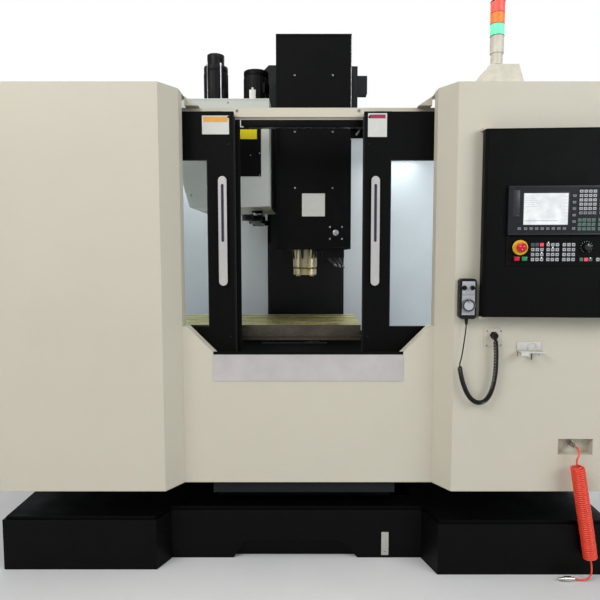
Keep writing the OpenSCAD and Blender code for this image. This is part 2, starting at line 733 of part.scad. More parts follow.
// Lower front panel with slanted corners, a sill and the doors' bottom channel
module lower_front_panel() {
    top = sill_z + sill_corner;
    flat = jamb_x - 20 - sill_corner;
    edge = [[-jamb_x, top], [-flat - sill_corner, top], [-flat, sill_z], [flat, sill_z],
        [flat + sill_corner, top], [jamb_x, top]];
    color(cream) {
        translate([0, ys + sheet_t, 0]) rotate([90, 0, 0]) linear_extrude(sheet_t)
            polygon(concat([[jamb_x - e, encl_bottom], [-jamb_x + e, encl_bottom]],
                [for (p = edge) [p[0] + (p[0] < 0 ? e : -e), p[1]]]));
        translate([0, ys + jamb_d + 5, 0]) rotate([90, 0, 0]) linear_extrude(jamb_d + 3)
            polygon(concat(edge, flip([for (i = [0:len(edge) - 1]) inset(edge, i, -sheet_t)])));
        // channel that guides the doors' bottom edges
        y0 = ys + jamb_d + 2;
        y1 = door_back + 9;
        reach = half_w - sheet_t - 5;
        block([-reach, y0, door_bottom - 20], [reach, y1, door_bottom - 17]);
        for (y = [y0, y1 - sheet_t])
            block([-reach, y, door_bottom - 20], [reach, y + sheet_t, door_bottom + 20]);
        block([-flat, y0, door_bottom], [flat, y0 + sheet_t, sill_z - 1]);
    }
}

// Two side panels and two rear panels
module outer_panels() {
    color(cream) for (s = [-1, 1]) {
        x = s * half_w;
        block([min(x, x - s * sheet_t), yf + sheet_t, encl_bottom],
            [max(x, x - s * sheet_t), rear_plane, encl_top]);
        block([min(x, x - s * 40), beam_y + 21, encl_top - sheet_t],
            [max(x, x - s * 40), rear_plane, encl_top]);
        translate([0, rear_plane, 0]) rotate([90, 0, 0]) linear_extrude(sheet_t) polygon([
            [x - s * sheet_t, encl_bottom], [axis_x + s * (bed_w / 2 + 5), encl_bottom],
            [axis_x + s * (bed_w / 2 + 5), bed_top + 2], [axis_x + s * (column_w / 2 + 62), bed_top + 2],
            [axis_x + s * (column_w / 2 + 62), bed_top + 62], [axis_x + s * (column_w / 2 + 2), 1002],
            [axis_x + s * (column_w / 2 + 2), encl_top], [x - s * sheet_t, encl_top]]);
    }
}

module kick_plate() {
    color(silver) block([-plate_w / 2, ys - sheet_t, sill_z + 2 - plate_h], [plate_w / 2, ys, sill_z + 2]);
}

// Beam over the doorway with the doors' rail, the work lamp and two corner gussets
module door_beam() {
    color(cream) {
        difference() {
            block([-half_w + sheet_t, beam_y, beam_bottom], [half_w - sheet_t, beam_y + 55, beam_top]);
            block([-half_w - 1, beam_y + sheet_t, beam_bottom - 1],
                [half_w + 1, beam_y + 56, beam_top - sheet_t]);
        }
        block([-half_w + 40, beam_y - 14, door_top - 15], [half_w - 40, beam_y + e, door_top]);
        block([-300, beam_y, beam_bottom - 28], [300, beam_y + 50, beam_bottom + e]);
        for (s = [-1, 1]) translate([0, beam_y + 30, 0]) rotate([90, 0, 0]) linear_extrude(70)
            polygon([[s * (jamb_x - sheet_t), beam_top - e], [s * (jamb_x - 65), beam_top - e],
                [s * (jamb_x - sheet_t), encl_top - 4]]);
    }
}

// Sliding door: leading edge at x = 0, the door lying towards -X
module door() {
    z0 = door_bottom;
    z1 = door_top;
    difference() {
        block([-door_w, door_y, z0], [0, door_back, z1]);
        block([-door_w + sheet_t, door_y + sheet_t, z0 + sheet_t], [-sheet_t, door_back + 1, z1 - sheet_t]);
        block([-door_w + 60, door_y - 1, window_bottom], [-stile_w, door_back, window_top]);
    }
    // stiffener behind the top edge, and the hangers on the rail
    block([-door_w + sheet_t - e, door_y + sheet_t - e, z1 - 45],
        [-sheet_t + e, door_back, z1 - sheet_t + e]);
    for (x = [-door_w + 50, -130]) difference() {
        block([x, door_back - e, z1 - 23], [x + 80, beam_y - 2, z1 + 8]);
        block([x - 1, beam_y - 14 - gap, z1 - 15 - gap], [x + 81, beam_y, z1 + gap]);
    }
    // handle: a round-ended bar with a grip slot
    translate([-52, door_y - 12, handle_z]) rotate([-90, 0, 0]) difference() {
        linear_extrude(12 + e) rounded(handle_w, handle_l, handle_w / 2 - 0.1);
        translate([0, -handle_l / 6, -1]) linear_extrude(9) rounded(9, handle_l / 2, 4.4);
    }
}
module left_door() {
    color(black) translate([-left_edge_x, 0, 0]) {
        door();
        // lip that closes behind the other door
        block([-14, door_back - e, door_bottom + 25], [0, door_back + 4, beam_bottom - 32]);
        block([-e, door_back + 1, door_bottom + 25], [26, door_back + 4, beam_bottom - 32]);
    }
}
module right_door() {
    color(black) translate([right_edge_x, 0, 0]) mirror([1, 0, 0]) door();
}
module window() {
    block([-door_w + 40, door_y + sheet_t, window_bottom - 20],
        [-stile_w + 20, door_y + sheet_t + glass_t, window_top + 20]);
}
module left_window() { color(pane) translate([-left_edge_x, 0, 0]) window(); }
module right_window() { color(pane) translate([right_edge_x, 0, 0]) mirror([1, 0, 0]) window(); }

// Magazine cover: a folded shell, open behind, with holes for a flipped pot and the arm's shaft
module magazine_cover() {
    shape = [[mag_x0, 1760], [mag_x0 + 32, mag_z0], [mag_x0 + 127, mag_z0 - 10], [mag_x1, mag_z0 + 5],
        [mag_x1, mag_z1], [mag_x0, mag_z1]];
    inside = [for (i = [0:5]) let (a = shape[(i + 5) % 6], b = shape[i], c = shape[(i + 1) % 6],
        m = unit(side(a, b) + side(b, c))) b + m * sheet_t / (m * side(a, b))];
    color([0.80, 0.82, 0.80]) difference() {
        translate([0, mag_y1, 0]) rotate([90, 0, 0]) linear_extrude(mag_y1 - mag_y0) polygon(shape);
        translate([0, mag_y1 + 1, 0]) rotate([90, 0, 0]) linear_extrude(mag_y1 - mag_y0 + 1 - sheet_t)
            polygon(inside);
        translate([arm_x, spindle_y, mag_z0 - 20]) cylinder(r = 46, h = 60);
        block([disc_x - 130, spindle_y - 60, mag_z0 - 30], [disc_x - 20, spindle_y + 60, mag_z0 + 30]);
    }
}

// Disc of tool pots on a shaft along X
module magazine_disc() {
    color(casting) translate([0, spindle_y, disc_z]) rotate([0, 90, 0]) {
        translate([0, 0, disc_x]) cylinder(r = pot_circle_r - 22, h = 15);
        translate([0, 0, disc_x + 15 - e]) cylinder(r = 60, h = 20);
        translate([0, 0, disc_x + 30]) cylinder(r = 25, h = drive_x0 - disc_x + 5);
        for (i = [0:pot_count - 1]) rotate([0, 0, i * 360 / pot_count]) translate([pot_circle_r, 0, 0]) {
            translate([0, 0, disc_x - 105]) cylinder(r = pot_r, h = 112);
            translate([0, 0, disc_x]) cylinder(r = pot_r + 3, h = 12);
        }
    }
}

// Cam box with the disc's bearing, an arm to the column and two upright motors
module magazine_drive() {
    color(black) {
        difference() {
            union() {
                block([drive_x0, mag_y0 + sheet_t, mag_z0 + 60], [drive_x1, -150, mag_z1 - 30]);
                block([drive_x0 - 55, -150 - e, 1800], [axis_x - column_w / 2, column_y + 120, 2000]);
                translate([drive_x0 - 15, spindle_y, disc_z]) rotate([0, 90, 0]) cylinder(r = 55, h = 20);
            }
            bore_x([drive_x0 - 16, spindle_y, disc_z], 25 + fit_gap, 60);
        }
        // motors: place, height of the body and of the narrower brake on it
        for (m = [[-521, -150, 272, 338], [arm_x, spindle_y, 212, 212]]) translate([m[0], m[1], mag_z1]) {
            linear_extrude(12) rounded(2 * mag_motor_r + 8, 2 * mag_motor_r + 8, 12);
            cylinder(r = mag_motor_r, h = m[2]);
            cylinder(r = mag_motor_r - 19, h = m[3]);
        }
    }
}

// Double-ended change arm, parked from front to back under the magazine
module tool_arm() {
    z = mag_z0 - 66;
    color(steel) difference() {
        translate([arm_x, spindle_y, z]) {
            cylinder(r = 46, h = 34);
            cylinder(r = 30, h = 66 + 60);
            linear_extrude(28) rounded(52, 2 * arm_reach - 40, 12);
            for (s = [-1, 1]) translate([0, s * arm_reach, 0]) cylinder(r = 52, h = 28);
        }
        for (s = [-1, 1]) translate([arm_x, spindle_y + s * arm_reach, z - 1]) {
            cylinder(r = 32, h = 30);
            rotate([0, 0, 45 * s]) block([0, -30, 0], [70, 30, 30]);
        }
    }
}

// Places its children on the operator panel's box, about the hinge
module on_box() { translate([hinge_x, hinge_y, 0]) rotate([0, 0, -box_angle]) children(); }

// Places its children on the box's front face at x, z, with +Z pointing at the operator
module on_face(x, z) { on_box() translate([x, box_face, z]) rotate([90, 0, 0]) children(); }
estop = [unit_x + 54, unit_z - 51];
start = [unit_x + 70.5, unit_z - 97];
stop = [unit_x + 39.5, unit_z - 97];
override = [unit_x + 321.5, unit_z - 49];
panel_t = 3;

module control_box() {
    x1 = box_w - 15;
    button_bore = button_r - 2 + fit_gap;
    color(black) difference() {
        on_box() union() {
            translate([0, 0, box_bottom]) linear_extrude(box_top - box_bottom) polygon([
                [-15, box_back - 6], [-9, box_back], [x1 - 6, box_back], [x1, box_back - 6],
                [x1, box_face + 8], [x1 - 8, box_face], [-7, box_face], [-15, box_face + 8]]);
            // machine panel plate under the controller
            block([unit_x - 3, box_face - panel_t, unit_z - panel_h],
                [unit_x + unit_w, box_face + e, unit_z - 4]);
        }
        for (z = [box_bottom - 1, box_top - 32]) bore_z([hinge_x, hinge_y, z], hinge_r + fit_gap, 33);
        on_face(estop[0], estop[1]) bore_z([0, 0, -26], 11 + fit_gap, 40);
        for (p = [start, stop]) on_face(p[0], p[1]) bore_z([0, 0, -18], button_bore, 40);
        on_face(override[0], override[1]) bore_z([0, 0, -18], 5 + fit_gap, 40);
    }
}

// Controller: a bezel round the screen and the key field
screen_x = [unit_x + 61.5, unit_x + 239];
screen_z = [unit_z + 42, unit_z + 169.5];
field_x = unit_x + 276;
module cnc_unit() {
    front = box_face - unit_d;
    color(black) on_box() difference() {
        block([unit_x, front, unit_z], [unit_x + unit_w, box_face, unit_z + unit_h]);
        block([screen_x[0], front - 1, screen_z[0]], [screen_x[1], box_face - 9, screen_z[1]]);
        block([field_x, front - 1, unit_z + 16],
            [unit_x + unit_w - 10, box_face - 11, unit_z + unit_h - 12]);
    }
}
module cnc_screen() {
    color([0.85, 0.88, 0.92]) on_box()
        block([screen_x[0], box_face - 12, screen_z[0]], [screen_x[1], box_face - 9, screen_z[1]]);
}

// Keys of the controller and of the machine panel
module key(x, z, w, h, t) {
    on_face(unit_x + x, unit_z + z) linear_extrude(t) square([w, h], center = true);
}
module panel_keys() {
    color([0.55, 0.57, 0.58]) difference() {
        union() {
            for (x = [289, 370], c = [0:3], r = [0:5]) key(x + c * 17.9, 89 + r * 17.4, 14, 12, unit_d);
            for (x = [286, 367], c = [0:3], r = [0:2]) key(x + c * 18.4, 24.5 + r * 18, 14, 13, unit_d);
            for (x = [45, 262]) key(x, 26, 13, 10, unit_d + 2);
            for (c = [0:7]) key(70.5 + c * 22.1, 26, 13, 10, unit_d + 2);
            for (r = [0:4]) key(262, 54 + r * 26, 13, 10, unit_d + 2);
            for (x = [105, 167, 231.5], c = [0:2], r = [0:3])
                key(x + c * 18.3, -100 + r * 20.2, 13.5, 13.5, panel_t + 2.5);
            for (x = [302, 320.5, 338, 367.5]) key(x, -100, 13.5, 13.5, panel_t + 2.5);
        }
        on_box() {
            block([field_x, box_face - 11, unit_z], [unit_x + unit_w, box_face + 1, unit_z + unit_h]);
            block([unit_x, box_face - unit_d, unit_z], [field_x, box_face + 1, unit_z + unit_h]);
            block([unit_x, box_face - panel_t, unit_z - panel_h],
                [unit_x + unit_w, box_face + 1, unit_z - 4]);
        }
    }
}
module estop_button() {
    color("red") on_face(estop[0], estop[1]) rotate_extrude() polygon([[0, -18], [11, -18],
        [11, 12 + estop_travel], [estop_r, 14 + estop_travel], [estop_r, 24 + estop_travel],
        [estop_r - 6, 30 + estop_travel], [0, 31 + estop_travel]]);
}
module push_button() {
    z = panel_t + button_travel + gap;
    rotate_extrude() polygon([[0, -12], [button_r - 2, -12], [button_r - 2, z], [button_r, z],
        [button_r, z + 6], [button_r - 1, z + 7], [0, z + 7]]);
}
module start_button() { color("green") on_face(start[0], start[1]) push_button(); }
module stop_button() { color("red") on_face(stop[0], stop[1]) push_button(); }
module override_knob() {
    color(black) on_face(override[0], override[1]) {
        translate([0, 0, -15]) cylinder(r = 5, h = 22);
        translate([0, 0, panel_t + gap]) cylinder(r1 = knob_r, r2 = knob_r - 3, h = 16);
        block([-2, 4, 6], [2, knob_r - 3, 20]);
    }
}

// Handwheel pendant on its hook, its dial and its two selectors
pendant_face = yf - 6 - pendant_d;
module on_pendant(x, z) {
    translate([pendant_x + x, pendant_face, pendant_z + z]) rotate([90, 0, 0]) children();
}
module pendant() {
    color(black) difference() {
        union() {
            translate([pendant_x, pendant_face + pendant_d, pendant_z + pendant_h / 2]) rotate([90, 0, 0])
                linear_extrude(pendant_d) rounded(pendant_w, pendant_h, 14);
            translate([pendant_x, yf - 26, pendant_z - 26]) cylinder(r1 = 4.5, r2 = 8, h = 27);
        }
        on_pendant(0, 58) translate([0, 0, -14]) cylinder(r = 6 + fit_gap, h = 20);
        for (x = [-17, 17]) on_pendant(x, 132) translate([0, 0, -14]) cylinder(r = 3 + fit_gap, h = 20);
    }
}
module pendant_dial() {
    color([0.3, 0.3, 0.32]) on_pendant(0, 58) difference() {
        union() {
            translate([0, 0, -12]) cylinder(r = 6, h = 20);
            translate([0, 0, gap]) cylinder(r = dial_r, h = 13);
        }
        translate([0, dial_r - 9, 9]) cylinder(r = 5, h = 10);
    }
}
module selector() {
    translate([0, 0, -12]) cylinder(r = 3, h = 16);
    translate([0, 0, gap]) cylinder(r1 = 10, r2 = 8.5, h = 11);
}
module axis_selector() { color(black) on_pendant(-17, 132) selector(); }
module step_selector() { color(black) on_pendant(17, 132) selector(); }

// Cord gland, and the air socket in its recess
module panel_sockets() {
    color(silver) {
        translate([gland_x, yf - 3 + e, gland_z]) rotate([90, 0, 0]) {
            cylinder(r = 14, h = 12);
            cylinder(r = 11, h = 38);
        }
        translate([gland_x, yf - 31, gland_z - 15]) cylinder(r = 9, h = 15);
        translate([socket_x, yf + 45, socket_z]) rotate([90, 0, 0]) {
            cylinder(r = 15, h = 20, $fn = 6);
            cylinder(r = 9, h = 50);
            translate([0, 0, 50]) cylinder(r = 7, h = 17);
        }
    }
}
module pendant_cord() { color(black) tube(smooth(cord_route, 2), cord_d, 8); }
module pendant_coil() { color(black) tube(smooth(coil_route, 2), curl_d, 10); }
module hose_ends() {
    color([0.88, 0.30, 0.22]) {
        tube(smooth(lead_route, 2), hose_d, 8);
        tube(smooth(tail_route, 2), hose_d, 8);
    }
}
module hose_coil() { color([0.88, 0.30, 0.22]) tube(hose_route, spiral_d, 12); }
module hose_connector() {
    color(silver) translate([1146 - gap, -1090, 11]) rotate([0, -90, 0]) {
        cylinder(r = 7, h = 14);
        translate([0, 0, 14]) cylinder(r = 11, h = 30);
        translate([0, 0, 44]) cylinder(r = 8, h = 10);
    }
}

// Tower light on its wedge
module tower_light() {
    x = 830;
    y = yf + 150;
    z = encl_top + 100;
    color(cream) translate([0, y + 60, 0]) rotate([90, 0, 0]) linear_extrude(120)
        polygon([[x - 130, encl_top], [x + 110, encl_top], [x + 80, z], [x - 44, z]]);
    color(silver) translate([x, y, z]) {
        translate([0, 0, -1]) cylinder(r = 13, h = 16);
        translate([0, 0, 14]) cylinder(r = lamp_d / 2 - 4, h = 50);
        translate([0, 0, 62]) cylinder(r = lamp_d / 2, h = 74);
        translate([0, 0, 135]) cylinder(r = lamp_d / 2 - 3, h = 3 * lamp_h + 6);
    }
    for (i = [0:2]) color(i == 0 ? "green" : i == 1 ? "orange" : "red")
        translate([x, y, z + 138 + i * (lamp_h + 2)]) cylinder(r = lamp_d / 2, h = lamp_h);
}

// Coolant tank that wraps the bed's foot, with chamfered top edges and a hollow under its front
tank_chamfer = 12;
module coolant_tank() {
    left = -half_w;
    right = half_w - 26;
    nose = yf - tank_nose;
    x_in = bed_w / 2 + 60;
    shape = [[left, 950], [-x_in, 950], [-x_in, -760], [x_in, -760], [x_in, 650], [right, 650],
        [right, nose], [567, nose], [520, ys], [-630, ys], [-675, yf], [left, yf]];
    n = len(shape);
    top = [for (i = [0:n - 1]) let (a = shape[(i + n - 1) % n], b = shape[i], c = shape[(i + 1) % n],
        m = unit(side(a, b) + side(b, c))) b - m * tank_chamfer / (m * side(a, b))];
    color(black) difference() {
        union() {
            linear_extrude(tank_h - tank_chamfer) polygon(shape);
            translate([0, 0, tank_h - tank_chamfer - e]) linear_extrude(tank_chamfer + e) polygon(top);
        }
        translate([0, ys + 30, 0]) rotate([90, 0, 0]) linear_extrude(60)
            polygon([[-347, -1], [-294, 81], [150, 81], [230, -1]]);
    }
}

// Level gauge on the tank's front, and the coolant pump on its rear
gauge_x = 354;
gauge_z = 15;
pump_r = 55;
module tank_fittings() {
    color(silver) difference() {
        block([gauge_x - gauge_w / 2, ys - 6, gauge_z], [gauge_x + gauge_w / 2, ys, gauge_z + gauge_h]);
        block([gauge_x - gauge_w / 6, ys - 7, gauge_z + 15],
            [gauge_x + gauge_w / 6, ys - 3, gauge_z + gauge_h - 15]);
    }
    color(steel) translate([-900, 830, tank_h]) {
        cylinder(r = pump_r + 35, h = 14);
        translate([0, 0, 14]) cylinder(r = pump_r, h = 80);
        translate([0, 0, 94]) cylinder(r = pump_r + 20, h = 190);
        translate([0, 0, 284]) cylinder(r = pump_r + 15, h = 36);
        bore_x([pump_r - 10, 0, 60], 18, 75);
    }
}

// Electrical cabinet on the column's back: a shell with a component plate, and a hinged door
module electrical_cabinet() {
    x0 = axis_x - cabinet_w / 2;
    x1 = axis_x + cabinet_w / 2;
    y1 = cabinet_back - 24;
    color(cream) {
        difference() {
            block([x0, column_back, cabinet_z0], [x1, y1, cabinet_z1]);
            block([x0 + sheet_t, column_back + sheet_t, cabinet_z0 + sheet_t],
                [x1 - sheet_t, y1 + 1, cabinet_z1 - sheet_t]);
        }
        for (z = [cabinet_z0 + 150, cabinet_z1 - 230]) {
            block([x0 - 20, y1 - 30, z], [x0 + e, y1 - 6, z + 40]);
            translate([x0 - 12, y1 + 12, z]) {
                cylinder(r = 8, h = 38);
                block([-8, -20, 0], [8, 0, 38]);
                cylinder(r = 4, h = 78);
            }
        }
    }
    color(steel) {
        plate = column_back + sheet_t + 12;
        block([x0 + 60, plate - 12, cabinet_z0 + 60], [x1 - 60, plate, cabinet_z1 - 60]);
        for (i = [0:3], j = [0:2]) block([x0 + 110 + i * 190, plate, cabinet_z0 + 160 + j * 420],
            [x0 + 240 + i * 190, plate + 80, cabinet_z0 + 420 + j * 420]);
    }
}
module cabinet_door() {
    x0 = axis_x - cabinet_w / 2;
    x1 = axis_x + cabinet_w / 2;
    y1 = cabinet_back - 24;
    color(cream) {
        difference() {
            block([x0, y1 + gap, cabinet_z0], [x1, y1 + 18, cabinet_z1]);
            block([x0 + sheet_t, y1 - 1, cabinet_z0 + sheet_t],
                [x1 - sheet_t, y1 + 18 - sheet_t, cabinet_z1 - sheet_t]);
        }
        // lever of the latch on its plate
        translate([x1 - 45, y1 + 18 - e, 1300]) rotate([-90, 0, 0]) {
            linear_extrude(2) rounded(30, 150, 8);
            linear_extrude(6) translate([0, -30]) rounded(20, 70, 9);
        }
        for (z = [cabinet_z0 + 150, cabinet_z1 - 230]) difference() {
            union() {
                translate([x0 - 12, y1 + 12, z + 38 + gap]) cylinder(r = 8, h = 38);
                block([x0 - 12, y1 + 6, z + 38 + gap], [x0 + 4, y1 + 18, z + 76 + gap]);
            }
            translate([x0 - 12, y1 + 12, z + 38]) cylinder(r = 4 + fit_gap, h = 42);
        }
    }
}

bed();
levelling_feet();
column();
saddle();
table();
head_casting();
x_screw();
y_screw();
z_screw();
fixed_axis_motors();
x_motor();
head_cover();
spindle_cartridge();
spindle();
spindle_motor();
coolant_nozzles();
way_covers_fixed();
way_covers_a();
way_covers_b();
saddle_way_covers();
head_way_cover();
chip_pan();
inner_walls();
left_front_panel();
right_front_panel();
lower_front_panel();
outer_panels();
kick_plate();
door_beam();
left_door();
left_window();
right_door();
right_window();
magazine_cover();
magazine_disc();
magazine_drive();
tool_arm();
control_box();
cnc_unit();
cnc_screen();
panel_keys();
estop_button();
start_button();
stop_button();
override_knob();
pendant();
pendant_dial();
axis_selector();
step_selector();
panel_sockets();
pendant_cord();
pendant_coil();
hose_ends();
hose_coil();
hose_connector();
tower_light();
coolant_tank();
tank_fittings();
electrical_cabinet();
cabinet_door();
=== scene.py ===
import json
import math
import random

import bmesh
import bpy
from mathutils import Matrix, Vector


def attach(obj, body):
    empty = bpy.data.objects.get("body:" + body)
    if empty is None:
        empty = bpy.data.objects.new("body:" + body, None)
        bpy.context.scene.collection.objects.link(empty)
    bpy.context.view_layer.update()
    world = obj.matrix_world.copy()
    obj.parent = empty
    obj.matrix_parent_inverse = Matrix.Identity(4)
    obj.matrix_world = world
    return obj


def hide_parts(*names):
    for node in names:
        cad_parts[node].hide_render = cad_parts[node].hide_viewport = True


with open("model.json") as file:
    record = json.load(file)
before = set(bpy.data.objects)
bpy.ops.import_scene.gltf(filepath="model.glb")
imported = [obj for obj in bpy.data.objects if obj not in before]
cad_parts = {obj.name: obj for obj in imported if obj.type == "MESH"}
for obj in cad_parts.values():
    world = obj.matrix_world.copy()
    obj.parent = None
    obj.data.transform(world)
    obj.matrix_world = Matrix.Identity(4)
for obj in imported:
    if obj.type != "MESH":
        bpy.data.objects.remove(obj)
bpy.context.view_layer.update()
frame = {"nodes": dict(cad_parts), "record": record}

random.seed(7)
scene = bpy.context.scene
scene.view_settings.view_transform = "Standard"
nodes = frame["nodes"]

# Sizes are in metres in the shared frame: x to the right, y away from the operator, z up.


def new_object(name, data):
    o = bpy.data.objects.new(name, data)
    scene.collection.objects.link(o)
    return o


# Camera
cam_data = bpy.data.cameras.new("camera")
cam_data.lens = 33.66
cam_data.sensor_width = 36.0
cam_data.clip_end = 60.0
camera = new_object("camera", cam_data)
camera.location = (0.008, -3.40, 1.40)
camera.rotation_euler = (math.radians(90 - 4.6), 0.0, 0.0)
cam_data.shift_x = -0.01667
scene.camera = camera


# Materials
def lin(r, g, b):
    """A colour given as the screen shows it, from 0 to 255."""
    return tuple((c / 255) ** 2.2 for c in (r, g, b)) + (1.0,)


def tones(rgb, less, more):
    """A darker tone of a colour, the colour and a lighter tone."""
    base = lin(*rgb)
    dark = tuple(c * (1 - less) for c in base[:3])
    light = tuple(min(1.0, c * (1 + more)) for c in base[:3])
    return dark, base, light


class Mat:
    """A node material with its shader, object coordinates and small helpers."""

    def __init__(self, name):
        self.m = bpy.data.materials.new(name)
        self.m.use_nodes = True
        self.t = self.m.node_tree
        self.bsdf = self.t.nodes["Principled BSDF"]
        self.coord = self.node("ShaderNodeTexCoord").outputs["Object"]

    def node(self, kind, inputs=(), **values):
        """A node with its settings, and its inputs: a value or what is linked, by name or number."""
        n = self.t.nodes.new(kind)
        for k, v in values.items():
            setattr(n, k, v)
        self.fill(n, dict(inputs))
        return n

    def fill(self, n, inputs):
        for k, v in inputs.items():
            if isinstance(v, bpy.types.NodeSocket):
                self.t.links.new(v, n.inputs[k])
            else:
                n.inputs[k].default_value = v

    def noise(self, scale, detail=3.0, rough=0.55, stretch=None):
        src = self.coord
        if stretch:
            src = self.node("ShaderNodeMapping", {"Scale": stretch, "Vector": src}).outputs["Vector"]
        inputs = {"Scale": scale, "Detail": detail, "Roughness": rough, "Vector": src}
        return self.node("ShaderNodeTexNoise", inputs).outputs["Fac"]

    def ramp(self, fac, *stops):
        """Turns a noise into a colour, between stops of (position, colour)."""
        r = self.node("ShaderNodeValToRGB", {"Fac": fac})
        e = r.color_ramp.elements
        while len(e) < len(stops):
            e.new(0.5)
        for el, (p, c) in zip(e, stops):
            el.position = p
            el.color = tuple(c[:3]) + (1.0,)
        return r.outputs["Color"]

    def remap(self, fac, lo, hi):
        """Spreads the middle of a noise over lo to hi."""
        inputs = {"Value": fac, "From Min": 0.3, "From Max": 0.7, "To Min": lo, "To Max": hi}
        return self.node("ShaderNodeMapRange", inputs).outputs["Result"]

    def bump(self, height, strength, distance, edge=None):
        """Bump from a height, on top of edges that look rounded by the radius edge."""
        inputs = {"Height": height, "Strength": strength, "Distance": distance}
        if edge:
            inputs["Normal"] = self.node("ShaderNodeBevel", {"Radius": edge}, samples=4).outputs["Normal"]
        return self.node("ShaderNodeBump", inputs).outputs["Normal"]

    def finish(self, color, rough, normal, **inputs):
        """Feeds the shader and gives back the finished material."""
        named = {k.replace("_", " "): v for k, v in inputs.items()}
        self.fill(self.bsdf, {"Base Color": color, "Roughness": rough, **named})
        if normal:
            self.fill(self.bsdf, {"Normal": normal})
        return self.m


def paint(name, rgb, rough=0.42, spread=0.06, peel=0.25, wear=0.06, edge=0.0015, spec=0.45):
    """Powder-coated or enamelled sheet: slight tone drift, orange peel and uneven gloss."""
    m = Mat(name)
    dark, base, light = tones(rgb, wear, wear * 0.6)
    return m.finish(m.ramp(m.noise(2.3, 5.0), (0.3, dark), (0.5, base), (0.72, light)),
                    m.remap(m.noise(9.0, 4.0), rough - spread, rough + spread),
                    m.bump(m.noise(420.0, 2.0), peel, 0.0004, edge), Specular_IOR_Level=spec)


def metal(name, rgb, rough, stretch, grain=180.0, wear=0.12, strength=0.2, metallic=1.0):
    """Brushed or ground metal: streaks along one axis and smudged gloss."""
    m = Mat(name)
    dark, base, light = tones(rgb, wear, wear)
    streak = m.noise(grain, 3.0, 0.6, stretch)
    return m.finish(m.ramp(m.noise(6.0, 5.0), (0.3, dark), (0.5, base), (0.7, light)),
                    m.remap(streak, rough * 0.75, rough * 1.35),
                    m.bump(streak, strength, 0.0003, 0.001), Metallic=metallic)


def ground_top_with_painted_sheen(name, top, side):
    """Ground steel on the faces that look up, their colour brightened and yellowed there as a painted sheen
    of the work lamp; dull on the others, their darker colour partly their own finish and partly painted
    shade.
    """
    m = Mat(name)
    worn = lin(*[c * 0.72 for c in top])
    grime = lin(*[c * 0.8 for c in side])
    ground_and_sheen = m.ramp(m.noise(5.0, 6.0, 0.6, (1, 3, 3)), (0.3, worn), (0.62, lin(*top)))
    dull_and_shaded = m.ramp(m.noise(7.0, 5.0), (0.3, grime), (0.7, lin(*side)))
    normal = m.node("ShaderNodeTexCoord").outputs["Normal"]
    height = m.node("ShaderNodeSeparateXYZ", {0: normal}).outputs["Z"]
    up = m.node("ShaderNodeMath", {0: height, 1: 0.6}, operation="GREATER_THAN").outputs[0]
    # the mask by the face's normal gives faces that look up the painted sheen and the others the painted
    # shade
    mix = m.node("ShaderNodeMix", {"Factor": up}, data_type="RGBA")
    m.fill(mix, {6: dull_and_shaded, 7: ground_and_sheen})
    return m.finish(mix.outputs[2], m.remap(m.noise(14.0, 5.0, 0.6, (1, 6, 6)), 0.2, 0.46),
                    m.bump(m.noise(90.0, 3.0, 0.6, (0.4, 6, 6)), 0.25, 0.0003, 0.0015), Metallic=0.85)


def plastic(name, rgb, rough=0.4, grain=700.0, strength=0.15, wear=0.08, spec=0.5):
    """Moulded plastic or rubber: fine grain and a little drift in tone and gloss."""
    m = Mat(name)
    dark, _, light = tones(rgb, wear, wear)
    return m.finish(m.ramp(m.noise(30.0, 4.0), (0.35, dark), (0.65, light)),
                    m.remap(m.noise(60.0, 3.0), rough * 0.8, rough * 1.2),
                    m.bump(m.noise(grain, 2.0), strength, 0.0002), Specular_IOR_Level=spec)


def glow(name, rgb, strength, base=None):
    """A lit surface with a slight mottle, over the colour base when it is off."""
    m = Mat(name)
    cool, _, hot = tones(rgb, 0.15, 0.1)
    off = lin(*(base or rgb))
    return m.finish(m.ramp(m.noise(25.0, 3.0), (0.3, off), (0.7, off)),
                    m.remap(m.noise(80.0), 0.15, 0.3), None,
                    Emission_Color=m.ramp(m.noise(25.0, 3.0), (0.3, cool), (0.7, hot)),
                    Emission_Strength=strength)


def glass(name, tint):
    """Clear glass with smudges."""
    m = Mat(name)
    smudged, clear, _ = tones(tint, 0.04, 0.0)
    smudge = m.noise(7.0, 5.0)
    return m.finish(m.ramp(smudge, (0.2, smudged), (0.8, clear)), m.remap(smudge, 0.02, 0.12),
                    m.bump(m.noise(1.4, 1.0), 0.02, 0.002),
                    Transmission_Weight=1.0, IOR=1.1, Specular_IOR_Level=0.6)


